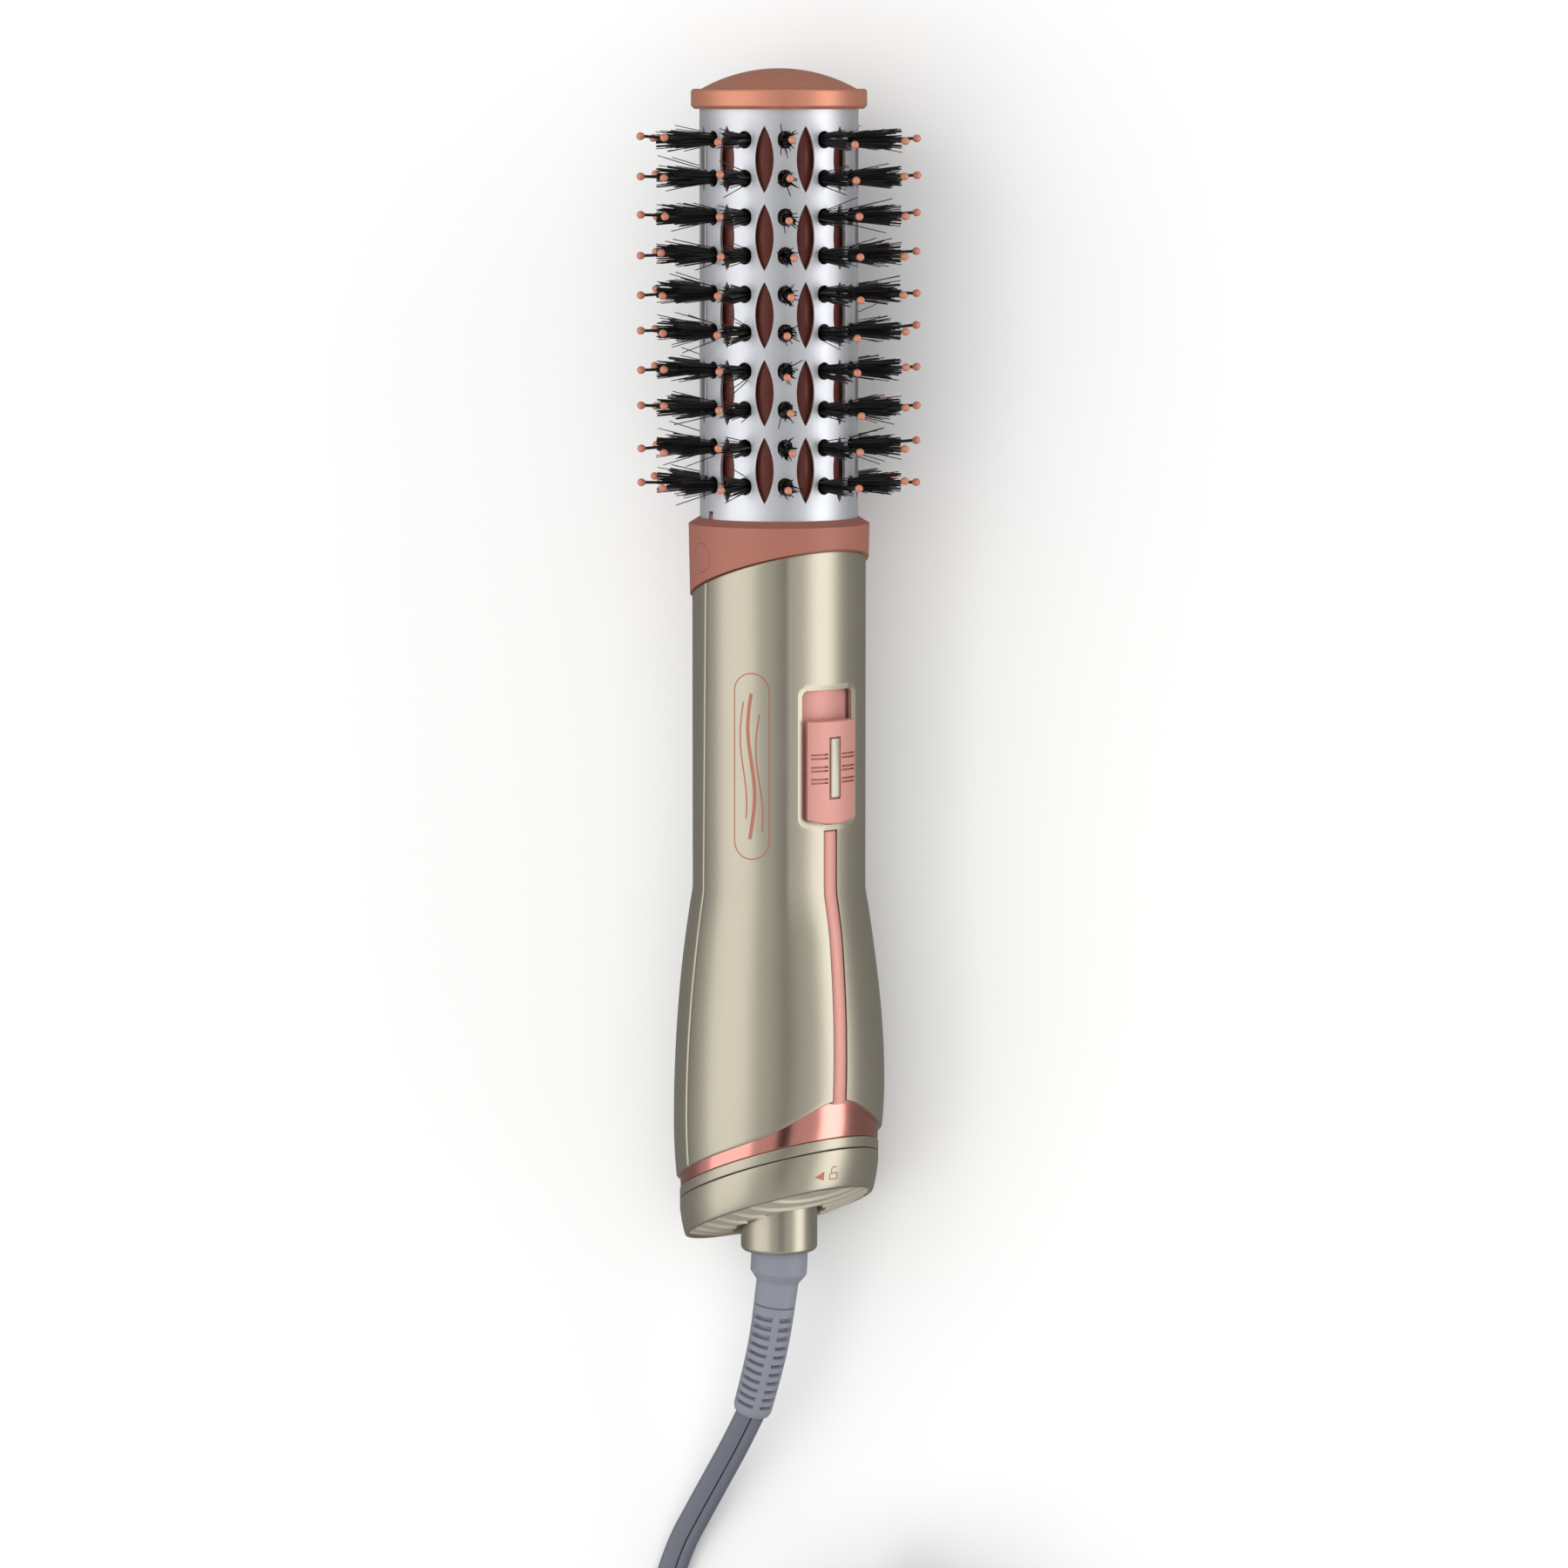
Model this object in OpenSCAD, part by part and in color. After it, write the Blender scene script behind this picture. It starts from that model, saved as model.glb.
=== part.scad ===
// Hot air brush: a removable bristle head on a round handle, lying on its pins and on the handle's
// wide end. The brush is built upright about its own axis (tip up, switch side towards -y, zero at
// the top of the collar) and is then laid down by lie_down(). Cord, coil and plug lie in the
// finished frame: +Y towards the tip, +Z up, the surface it lies on at zero.

/* [Brush head] */
// Outer diameter of the barrel
barrel_d = 38.1; // [32:0.1:44]
// Wall thickness of the barrel
barrel_wall = 0.8; // [0.6:0.1:1.2]
// Length of the barrel above the collar
barrel_len = 97.7; // [90:0.1:105]
// Distance between tuft rows along the barrel
row_pitch = 9.134; // [8.5:0.001:9.5]
// Height of the lowest tuft row
row_low = 8.3; // [7:0.1:9]
// Distance from the axis to the bristle ends
bristle_reach = 29.5; // [26:0.1:31]
// Distance from the axis to the outside of a ball tip
pin_reach = 34.2; // [32:0.1:36]
// Turn of the first tuft column from the switch side, in degrees
first_column = -3.5; // [-14:0.5:14]

/* [Handle] */
// Radius of the straight grip
grip_r = 20.92; // [19:0.01:22]
// Radius of the widest part of the handle
bulb_r = 25.6; // [24:0.1:27]
// Wall thickness of the handle shells
shell_wall = 2.2; // [1.8:0.1:2.6]
// Radius of the ring and cap at the tail
tail_r = 24.15; // [23.5:0.05:24.5]
// Radius of the neck that the cord comes out of
neck_r = 9.3; // [8.5:0.1:10]
// Slope of the collar's lower edge, rise over run
collar_slope = 0.34; // [0.2:0.01:0.45]
// Slope of the tail planes, rise over run
tail_slope = 0.40; // [0.3:0.01:0.45]

/* [Controls] */
// Free travel of the switch slider
slider_travel = 7; // [4:0.5:8]
// Travel of the release button
release_travel = 1.5; // [1:0.1:1.5]
// Diameter of the release button
release_d = 7; // [6:0.1:8]

/* [Cord] */
// Width of the flat cord
cord_w = 7; // [6:0.1:8]
// Thickness of the flat cord
cord_t = 3.6; // [3:0.1:4]
// Middle radius of the stored coil
coil_r = 41.5; // [41:0.5:42]
// Turns side by side in the coil's lower layer; the upper layer has one less
coil_passes = 4; // [3:1:4]

/* [Rest] */
// How far the tip is raised where the brush lies, in degrees
rest_tilt = 2.755; // [2:0.001:4]
// Turn about the axis that puts two pin columns underneath
rest_roll = 48.5; // [48.5:30:108.5]

/* [Hidden] */
$fn = 72;

eps = 0.01;
big = 120;

// colours
copper = [0.69, 0.45, 0.38];
rose = [0.88, 0.62, 0.57];
champagne = [0.74, 0.71, 0.63];
steel = [0.78, 0.79, 0.81];
black = [0.06, 0.06, 0.06];
brown = [0.30, 0.13, 0.10];
relief_grey = [0.52, 0.53, 0.56];
cord_grey = [0.43, 0.44, 0.47];

// barrel and tufts
barrel_r = barrel_d / 2;
barrel_in = barrel_r - barrel_wall;
barrel_foot = -3;
columns = 12;
rows = 10;
column_step = 360 / columns;
hole_w = 3.6;
hole_l = 4.2;
slot_rows = 5;
slot_l = 15.9;
slot_w = 4.45;
slot_pitch = 18.45;
slot_low = 12.1;
slot_turn = 15;
window_w = 2;
window_low = -1.4;
window_high = 1.9;
tuft_root = 14.5;
tuft_root_r = 0.9;
tuft_end_r = 3.5;
stem_r = 0.55;
ball_r = 0.95;

// core and rails
core_r = 13.6;
core_in = 12.2;
core_foot = 2.2;
core_top = 94;
rail_w = 4.2;
rail_in = 14.3;
rail_out = 16.6;
rail_low = 5.2;
rail_high = 93.6;

// tip cap
flange_r = 21.1;
cap_top = 107.4;
cap_base = barrel_len;
dome_r = 37.9;

// collar and latch
collar_top_r = 21.8;
collar_low_r = 21.3;
collar_bevel = 1.5;
collar_mid = -14.1;
socket_r = 19.35;
socket_floor = -3.3;
web = 2.2;
spigot_r = 12;
spigot_in = 10.8;
spigot_top = 12;
sleeve_r = 18.55;
sleeve_in = 17;
sleeve_mid = -24;
latch_turn = -97;
release_z = -9.1;
release_gap = 0.1;
release_flange = 0.8;
release_seat = sleeve_in + release_travel + 0.1;

// handle outline
bulge_z = -90;
widest_z = -141.5;
foot_taper = 0.7;
foot_span = 18;
seam_y = 1.7;
seam_z = -18;
seam_tilt = 1;
boss_x = 14.8;
boss_r = 2.8;
boss_zs = [-34, -84];
shell_low = -172;

// tail: heights on the axis of its slanted planes
band_mid = -157.8;
band_show = 3;
band_hidden = 13;
joint_mid = -160.6;
rim_mid = -169.8;
arch_r = 21.75;
arch_top = -141.1;
neck_low = -178.9;
neck_top = -150;
tail_tilt = atan(tail_slope);

// switch window and slider
window_x = 7.5;
window_foot = -73;
slider_x = 7.2;
slider_top = -47.7;
slider_foot = -72.7;
window_top = slider_top + slider_travel + 0.2;
strip_x = 1.85;
strip_top = -74.4;

// fan and motor
duct_r = 11.6;
duct_in = 10.8;
shroud_r = 17;
shroud_in = 16.2;
fan_z = -104;
motor_r = 12;
motor_low = -138;
motor_top = -112;

// route of the cord in the finished frame, from the strain relief to the coil
relief_route = [[0, -138, 24.2], [0, -146, 23.8], [-1, -155, 23.2], [-2.6, -165, 22],
    [-4.8, -174, 20.2], [-7.8, -184, 17.4]];
cord_route = [[-7.8, -184, 17.4], [-12.6, -193, 13.6], [-17.8, -202, 9.6], [-23, -211, 6],
    [-27.8, -220, 3.4], [-31.6, -231, 2.1], [-34, -245, 2.9], [-34.9, -262, 3.5], [-34.9, -280, 3.5]];
// where along that route the flat cord starts and ends turning up on edge, counted in points
edge_from = 4.5;
edge_to = 7.7;
// the coil is wound on edge: turns side by side in two layers
coil_x = 12;
coil_y = -280;
coil_half = coil_passes * cord_t / 2;
coil_h = 2 * cord_w;
// from the coil's upper layer over the coil to the plug
tail_route = [[-31.3, -280, 10.5], [-31.3, -286, 11], [-28.4, -299.1, 13], [-20.2, -309.7, 15.6],
    [-10.9, -315.1, 17.9], [-0.3, -317, 20.2], [10.3, -315.1, 22.6], [19.6, -309.7, 25],
    [27.8, -299.1, 27.7], [30.7, -286, 29], [30.7, -279, 29]];
plug_l = 42;
plug_w = 30;
plug_t = 23;
plug_at = [30.7, -245, coil_h];
plug_relief_l = 20;
relief_n = 16;

// Radius of the handle's outside at height z
function body_r(z) =
    z > bulge_z ? grip_r
    : z > widest_z ? grip_r + (bulb_r - grip_r) * sin(90 * pow((bulge_z - z) / (bulge_z - widest_z), 0.93))
    : bulb_r - foot_taper * pow((widest_z - z) / foot_span, 2);

// Heights at which the handle's outline is drawn
body_zs = [0, bulge_z, for (z = [-94 : -4 : shell_low]) z];

// A point of a smooth curve through route (Catmull-Rom), t counted in points
function along(route, t) =
    let (n = len(route) - 1, i = min(floor(t), n - 1), f = t - i,
        a = route[max(i - 1, 0)], b = route[i], c = route[i + 1], d = route[min(i + 2, n)])
    0.5 * (2 * b + (c - a) * f + (2 * a - 5 * b + 4 * c - d) * f * f + (3 * b - a - 3 * c + d) * f * f * f);

function unit(v) = v / norm(v);

// Ring of a tube along route at t, w and h from its middle to its sides, with h towards up_ref
// before the ring is turned about the route by turn degrees
function ring(route, t, w, h, sides, up_ref = [0, 0, 1], turn = 0) =
    let (n = len(route) - 1, p = along(route, t),
        d = unit(along(route, min(t + 0.05, n)) - along(route, max(t - 0.05, 0))),
        level = unit(cross(d, up_ref)), rise = cross(level, d),
        side = level * cos(turn) + rise * sin(turn), up = rise * cos(turn) - level * sin(turn))
    [for (k = [0 : sides - 1]) p + side * (w * cos(360 * k / sides)) + up * (h * sin(360 * k / sides))];

// Smooth step from 0 to 1 as t goes from low to high
function ease(t, low, high) =
    let (f = max(0, min(1, (t - low) / (high - low)))) f * f * (3 - 2 * f);

// Closed tube through a list of rings
module skin(rings) {
    sides = len(rings[0]);
    last = len(rings) - 1;
    polyhedron(
        points = [for (r = rings) each r],
        faces = concat(
            [[for (k = [0 : sides - 1]) sides - 1 - k]],
            [for (i = [0 : last - 1], k = [0 : sides - 1])
                let (a = i * sides + k, b = i * sides + (k + 1) % sides) [a, b, b + sides, a + sides]],
            [[for (k = [0 : sides - 1]) last * sides + k]]));
}

// A plain tube of one size along route
module tube_along(route, w, h, step, sides = 10, up_ref = [0, 0, 1]) {
    n = len(route) - 1;
    skin([for (t = [0 : step : n]) ring(route, t, w, h, sides, up_ref)]);
}

// Lowest reach of the two pin columns underneath, and where that puts the axis
pin_reach_down = (pin_reach - ball_r) * cos(column_step / 2) + ball_r;
rest_h = pin_reach_down * cos(rest_tilt) - row_low * sin(rest_tilt);
rest_y = 35.9;

// Lays the upright brush down on its pins and its wide end
module lie_down() {
    translate([0, rest_y, rest_h])
        rotate([rest_tilt - 90, 0, 0])
            rotate([0, 0, rest_roll])
                children();
}
// Puts children on column i, pointing outwards along +x
module on_column(i, turn = 0) {
    rotate([0, 0, first_column + turn + i * column_step - 90]) children();
}

// Everything below a slanted plane that crosses the axis at height mid
module below(mid, slope) {
    translate([0, 0, mid]) rotate([-atan(slope), 0, 0]) translate([-big, -big, -2 * big]) cube(2 * big);
}

// Everything above it
module above(mid, slope) {
    translate([0, 0, mid]) rotate([-atan(slope), 0, 0]) translate([-big, -big, 0]) cube(2 * big);
}

module pipe(r_out, r_in, low, high) {
    difference() {
        translate([0, 0, low]) cylinder(r = r_out, h = high - low);
        translate([0, 0, low - 1]) cylinder(r = r_in, h = high - low + 2);
    }
}

// A flat rounded rectangle, half-size x by y
module rounded(x, y, r) {
    square([2 * (x - r), 2 * y], center = true);
    square([2 * x, 2 * (y - r)], center = true);
    for (i = [-1, 1], j = [-1, 1]) translate([i * (x - r), j * (y - r)]) circle(r = r);
}

// The same, as a bar through the switch side at height z
module front_bar(x, high, foot, r) {
    translate([0, 0, (high + foot) / 2]) rotate([90, 0, 0])
        linear_extrude(height = 30) rounded(x, (high - foot) / 2, r);
}

// ---- brush head ----

module tip_cap() {
    dome_base_r = 18.6;
    dome_mid = cap_top - dome_r;
    dome = [for (k = [0 : 8]) let (a = asin(dome_base_r / dome_r) * (1 - k / 8))
        [dome_r * sin(a), dome_mid + dome_r * cos(a)]];
    color(copper) lie_down() difference() {
        union() {
            difference() {
                rotate_extrude() polygon(concat(
                    [[0, 94.6], [barrel_in - 0.1, 94.6], [barrel_in - 0.1, cap_base], [20.5, cap_base],
                        [flange_r, 98.3], [flange_r, 101.9], [20.6, 102.5]], dome));
                translate([0, 0, 94]) cylinder(r = barrel_in - 1.4, h = 7.5);
            }
            translate([0, 0, core_top + 0.1]) cylinder(r = 3.6, h = 8);
        }
        translate([0, 0, 90]) cylinder(r = 1.5, h = 12);
    }
}

module cap_screw() {
    color(steel) lie_down() {
        translate([0, 0, core_top - 3.8]) cylinder(r = 3, h = 1.75);
        translate([0, 0, core_top - 2.1]) cylinder(r = 1.45, h = 9);
    }
}

module tuft_hole() {
    rotate([0, 90, 0]) linear_extrude(height = 12) {
        square([hole_l - hole_w, hole_w], center = true);
        for (i = [-1, 1]) translate([i * (hole_l - hole_w) / 2, 0]) circle(d = hole_w);
    }
}

module air_slot() {
    half = slot_w / 2;
    bow = (slot_l * slot_l / 4 + half * half) / (2 * half);
    rotate([0, 90, 0]) linear_extrude(height = 12) intersection() {
        translate([0, bow - half]) circle(r = bow);
        translate([0, half - bow]) circle(r = bow);
    }
}

module barrel() {
    color(steel) lie_down() difference() {
        pipe(barrel_r, barrel_in, barrel_foot, cap_base);
        for (i = [0 : columns - 1], j = [0 : rows - 1])
            on_column(i) translate([barrel_in - 6, 0, row_low + j * row_pitch]) tuft_hole();
        for (i = [0 : columns - 1], j = [0 : slot_rows - 1])
            on_column(i, slot_turn) translate([barrel_in - 6, 0, slot_low + j * slot_pitch]) air_slot();
        rotate([0, 0, latch_turn - 90]) translate([barrel_in - 4, -window_w / 2, window_low])
            cube([8, window_w, window_high - window_low]);
    }
}

module bristle_core() {
    rib = 0.8;
    color(brown) lie_down() difference() {
        union() {
            pipe(core_r, core_in, core_foot, core_top);
            pipe(barrel_in - 0.1, core_in, core_foot, core_foot + 2);
            pipe(core_r, 1.7, core_top - 2, core_top);
            for (i = [0 : columns - 1], side = [-1, 1])
                on_column(i) translate([core_r - 0.4, side * 2.6 - rib / 2, core_foot + 1])
                    cube([4.3, rib, rail_high - core_foot]);
        }
        for (i = [0 : columns - 1], j = [0 : slot_rows - 1])
            on_column(i, slot_turn) translate([core_in - 2, -1.2, slot_low + j * slot_pitch - 6.5])
                cube([5, 2.4, 13]);
    }
}

module bristle_strip(i) {
    color(black) lie_down() on_column(i) difference() {
        translate([rail_in, -rail_w / 2, rail_low]) cube([rail_out - rail_in, rail_w, rail_high - rail_low]);
        for (j = [0 : rows - 1])
            translate([rail_in - 1, 0, row_low + j * row_pitch]) rotate([0, 90, 0])
                cylinder(r = 1.35, h = 5, $fn = 24);
    }
}

module at_tufts() {
    for (i = [0 : columns - 1], j = [0 : rows - 1])
        on_column(i) translate([0, 0, row_low + j * row_pitch]) rotate([0, 90, 0]) children();
}

module bristle_tufts() {
    color(black) lie_down() at_tufts() translate([0, 0, tuft_root])
        cylinder(r1 = tuft_root_r, r2 = tuft_end_r, h = bristle_reach - tuft_root, $fn = 24);
}

module pin_stems() {
    color(black) lie_down() at_tufts() translate([0, 0, tuft_root])
        cylinder(r = stem_r, h = pin_reach - 1.6 * ball_r - tuft_root, $fn = 16);
}

module pin_balls() {
    color(copper) lie_down() at_tufts() translate([0, 0, pin_reach - ball_r]) sphere(r = ball_r, $fn = 24);
}

// ---- collar and latch ----

module collar_outside() {
    rotate_extrude()
        polygon([[0, 0], [socket_r, 0], [collar_top_r, -collar_bevel], [collar_low_r, -26], [0, -26]]);
}

module collar() {
    color(copper) lie_down() difference() {
        union() {
            difference() {
                collar_outside();
                below(collar_mid, collar_slope);
            }
            difference() {
                translate([0, 0, -34]) cylinder(r = sleeve_r, h = 30);
                below(sleeve_mid, collar_slope);
            }
            translate([0, 0, -4]) cylinder(r = spigot_r, h = spigot_top + 4);
        }
        pipe(socket_r, spigot_r, socket_floor, 1);
        translate([0, 0, -40]) cylinder(r = sleeve_in, h = 40 + socket_floor - web);
        translate([0, 0, -40]) cylinder(r = spigot_in, h = 60);
        rotate([0, 0, latch_turn - 90]) {
            translate([15.2, -3.4, -6]) cube([2.2, 6.8, 4]);
            translate([15.2, -1.2, -4]) cube([4.3, 2.4, 3]);
            translate([sleeve_in - 1, 0, release_z]) rotate([0, 90, 0])
                cylinder(d = release_d + 1.5, h = release_seat + release_flange + 1.2 - sleeve_in);
            translate([sleeve_in, 0, release_z]) rotate([0, 90, 0]) cylinder(d = release_d, h = 8);
        }
    }
}

module latch_tongue() {
    color(copper) lie_down() rotate([0, 0, latch_turn - 90]) {
        translate([15.4, -2.8, -19]) cube([1.3, 5.6, 17.6]);
        translate([15.4, -0.8, -1.41]) cube([1.3, 1.6, 2.4]);
        translate([16.6, 0, 0]) rotate([90, 0, 0]) translate([0, 0, -0.75])
            linear_extrude(height = 1.5) polygon([[0, -1.1], [2.4, -1.1], [2.4, -0.6], [1.8, 1.2], [0, 1]]);
    }
}

module release_button() {
    color(copper) lie_down() intersection() {
        rotate([0, 0, latch_turn - 90]) translate([0, 0, release_z]) rotate([0, 90, 0]) {
            translate([0, 0, 16.8]) cylinder(r = 2, h = 2.3);
            translate([0, 0, release_seat]) cylinder(d = release_d + 1.2, h = release_flange);
            translate([0, 0, release_seat + 0.7]) cylinder(d = release_d - 2 * release_gap, h = 5);
        }
        collar_outside();
    }
}

// ---- handle casing ----

// The handle's outside as one turned solid, shrunk by inset
module body(inset) {
    rotate_extrude() polygon(concat([[0, body_zs[0]]], [for (z = body_zs) [body_r(z) - inset, z]],
        [[0, body_zs[len(body_zs) - 1]]]));
}

// Where the casing's lower edge is cut away over the band
module casing_cut() {
    below(band_mid + band_show, tail_slope);
    translate([0, 0, arch_top - arch_r]) rotate([90, 0, 0]) cylinder(r = arch_r, h = 40);
}

module casing() {
    difference() {
        union() {
            difference() {
                body(0);
                body(shell_wall);
            }
            // posts for the casing screws
            intersection() {
                for (x = [-boss_x, boss_x], z = boss_zs)
                    translate([x, 20, z]) rotate([90, 0, 0]) cylinder(r = boss_r, h = 40);
                body(shell_wall / 2);
            }
            // ribs that hold the motor mount
            for (z = [-131, -121.4]) pipe(body_r(z) - 1, 21.8, z, z + 1.4);
        }
        above(collar_mid - 0.15, collar_slope);
        casing_cut();
        // seat of the accent band under the casing's lip
        difference() {
            translate([0, 0, shell_low]) cylinder(r = tail_r - 0.05, h = 50);
            above(band_mid + band_hidden + 0.2, tail_slope);
        }
    }
}

// Half of the casing on the switch side of the seam, or behind it
module seam_side(front, gap) {
    translate([0, seam_y, seam_z]) rotate([seam_tilt, 0, 0])
        translate([-big, front ? -2 * big - gap : gap, -big - 50]) cube(2 * big);
}

// Seat of the accent strip: a bar through the front, outside the body shrunk by depth
module strip_bar(x, depth, high) {
    difference() {
        translate([-x, -40, -150]) cube([2 * x, 40, 150 + high]);
        body(depth);
    }
}

module handle_front_shell() {
    color(champagne) lie_down() difference() {
        intersection() {
            casing();
            seam_side(true, 0.03);
        }
        front_bar(window_x, window_top, window_foot, 2.5);
        strip_bar(strip_x + 0.05, 0.85, strip_top + 0.05);
        for (x = [-boss_x, boss_x], z = boss_zs)
            translate([x, 3, z]) rotate([90, 0, 0]) cylinder(r = 1.15, h = 12);
    }
}

module handle_rear_shell() {
    color(champagne) lie_down() difference() {
        intersection() {
            casing();
            seam_side(false, 0.03);
        }
        for (x = [-boss_x, boss_x], z = boss_zs) translate([x, 0, z]) {
            translate([0, 9.2, 0]) rotate([90, 0, 0]) cylinder(r = 1.6, h = 12);
            translate([0, 22, 0]) rotate([90, 0, 0]) cylinder(r = 2.5, h = 14);
        }
    }
}

module shell_screws() {
    color(steel) lie_down() for (x = [-boss_x, boss_x], z = boss_zs) translate([x, 0, z]) {
        translate([0, 8.2, 0]) rotate([90, 0, 0]) cylinder(r = 1.1, h = 16);
        translate([0, 9.8, 0]) rotate([90, 0, 0]) difference() {
            cylinder(r = 2.3, h = 1.7);
            for (a = [0, 90]) rotate([0, 0, a]) translate([-1.5, -0.3, -0.1]) cube([3, 0.6, 0.9]);
        }
    }
}

module accent_strip() {
    color(rose) lie_down() difference() {
        intersection() {
            strip_bar(strip_x, 0.8, strip_top);
            body(0);
        }
        casing_cut();
    }
}

module accent_band() {
    color(rose) lie_down() difference() {
        pipe(tail_r - 0.1, tail_r - 1.6, shell_low, -130);
        above(band_mid + band_hidden, tail_slope);
        below(band_mid + 0.02, tail_slope);
    }
}

// ---- tail ----

// Upright on the tail's slanted joint plane
module on_joint() {
    translate([0, 0, joint_mid]) rotate([-tail_tilt, 0, 0]) children();
}

lug_turns = [20, 140, 260];
lug_angle = 14;
twist = 15;

module tail_ring() {
    lip = 1;
    groove_top = 2.8;
    spoke_h = 1.7;
    color(champagne) lie_down() {
        difference() {
            union() {
                difference() {
                    translate([0, 0, -190]) cylinder(r = tail_r, h = 60);
                    above(band_mid, tail_slope);
                    below(joint_mid, tail_slope);
                }
                difference() {
                    translate([0, 0, -190]) cylinder(r = tail_r - 1.8, h = 60);
                    on_joint() translate([-big, -big, groove_top + 2]) cube(2 * big);
                    below(joint_mid, tail_slope);
                }
            }
            on_joint() {
                translate([0, 0, -1]) cylinder(r = 20.9, h = 10);
                translate([0, 0, lip]) cylinder(r = 21.9, h = groove_top - lip);
                for (a = lug_turns) rotate([0, 0, a - twist - 1]) rotate_extrude(angle = lug_angle + 2)
                    translate([20, -1]) square([1.75, lip + 1.5]);
            }
        }
        difference() {
            union() {
                on_joint() for (a = [0 : 120 : 359]) rotate([0, 0, a])
                    translate([9.5, -1.5, groove_top]) cube([12, 3, spoke_h]);
                translate([0, 0, -162]) cylinder(r = neck_r + 1.9, h = 11);
            }
            translate([0, 0, -190]) cylinder(r = neck_r + 0.02, h = 60);
        }
    }
}

// Upright on the tail's slanted rim plane
module on_rim() {
    translate([0, 0, rim_mid]) rotate([-tail_tilt, 0, 0]) children();
}

// A thin disc that is round seen along the axis and lies in a slanted plane
module slanted_disc(r, mid) {
    multmatrix([[1, 0, 0, 0], [0, 1, 0, 0], [0, -tail_slope, 1, mid], [0, 0, 0, 1]])
        cylinder(r = r, h = eps, $fn = 64);
}

// The cap's wall with its bulging, louvred floor
module tail_cap_shape() {
    floor_t = 1.6;
    bulge = 2;
    difference() {
        union() {
            hull() {
                slanted_disc(tail_r + 0.1, joint_mid - 0.15);
                slanted_disc(tail_r + 0.05, -165);
                slanted_disc(23.5, -168.4);
                slanted_disc(22.4, rim_mid);
            }
            on_rim() translate([0, 0, -bulge]) cylinder(r1 = 12.4, r2 = 21.2, h = bulge + 0.2);
        }
        difference() {
            translate([0, 0, -190]) cylinder(r = tail_r - 1.7, h = 60);
            below(rim_mid + floor_t, tail_slope);
        }
        on_rim() translate([0, 0, floor_t - bulge]) cylinder(r1 = 12, r2 = 20.8, h = bulge + 0.2);
        translate([0, 0, -190]) cylinder(r = neck_r + 1.9, h = 60);
        intersection() {
            on_rim() pipe(20.6, 13.2, -5, 5);
            rotate([0, 0, -102]) translate([54, 0, 0])
                for (r = [36.8 : 4.6 : 73.7]) pipe(r + 0.5, r - 0.5, -190, -145);
        }
    }
}

module tail_cap() {
    color(champagne) lie_down() {
        tail_cap_shape();
        difference() {
            on_joint() {
                pipe(20.6, 19.4, -1.4, 2.65);
                for (a = lug_turns) rotate([0, 0, a]) rotate_extrude(angle = lug_angle)
                    translate([20.2, 1.15]) square([1.4, 1.5]);
                pipe(27, 19.4, -1.4, -0.2);
            }
            pipe(40, tail_r - 0.8, -190, -130);
        }
    }
}

module lint_filter() {
    color([0.25, 0.25, 0.25]) lie_down() on_joint() difference() {
        pipe(20.4, 12, -2.2, -1.42);
        for (ring = [0 : 2], k = [0 : 17])
            rotate([0, 0, k * 20 + ring * 10]) translate([13.6 + ring * 2.1, 0, -3])
                cylinder(r = 0.8, h = 2, $fn = 16);
    }
}

module neck() {
    color(champagne) lie_down() difference() {
        rotate_extrude() polygon([[7, neck_low], [neck_r - 1.2, neck_low], [neck_r - 0.35, neck_low + 0.35],
            [neck_r, neck_low + 1.2], [neck_r, neck_top], [8.3, neck_top], [8.3, neck_low + 2.5], [7, neck_low + 2.5]]);
    }
}

module cord_clamp() {
    color([0.85, 0.85, 0.82]) lie_down() difference() {
        translate([0, 0, -171]) cylinder(r = 8.2, h = 7);
        for (x = [-1.8, 1.8]) translate([x, 0, -180]) cylinder(r = 1.5, h = 30);
    }
}

// ---- air, heat and drive ----

module air_duct() {
    color([0.90, 0.88, 0.80]) lie_down() rotate_extrude() polygon([
        [duct_r, socket_floor - web - 0.1], [duct_r, -86], [shroud_r, -96], [shroud_r, -110],
        [shroud_in, -110], [shroud_in, -96.3], [duct_in, -86.3], [duct_in, socket_floor - web - 0.1]]);
}

heater_low = -76;
heater_top = -9;
turn_pitch = 3.4;
turn_count = 16;

module heater_frame() {
    color([0.80, 0.76, 0.62]) lie_down() for (a = [0, 90]) rotate([0, 0, a])
        translate([-10.3, -0.4, heater_low]) cube([20.6, 0.8, heater_top - heater_low]);
}

module heater_coil() {
    color([0.60, 0.58, 0.56]) lie_down() {
        for (k = [0 : turn_count - 1])
            translate([0, 0, heater_low + 3 + k * turn_pitch])
                rotate_extrude() translate([8.6, 0]) circle(r = 0.4, $fn = 16);
        rotate([0, 0, 45]) translate([8.6, 0, heater_low + 3])
            cylinder(r = 0.25, h = (turn_count - 1) * turn_pitch, $fn = 16);
    }
}

module thermostat() {
    color(steel) lie_down() translate([2, 2, -18]) cube([5, 5, 3]);
}

module thermal_fuse() {
    color(steel) lie_down() translate([-4.5, -4.5, -20]) cylinder(r = 1.7, h = 9);
}

module motor_case() {
    color(steel) lie_down() difference() {
        union() {
            translate([0, 0, motor_low]) cylinder(r = motor_r, h = motor_top - motor_low);
            translate([0, 0, motor_top]) cylinder(r = 3, h = 1.6);
        }
        translate([0, 0, motor_low + 4]) cylinder(r = 1.05, h = 40);
    }
}

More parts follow.
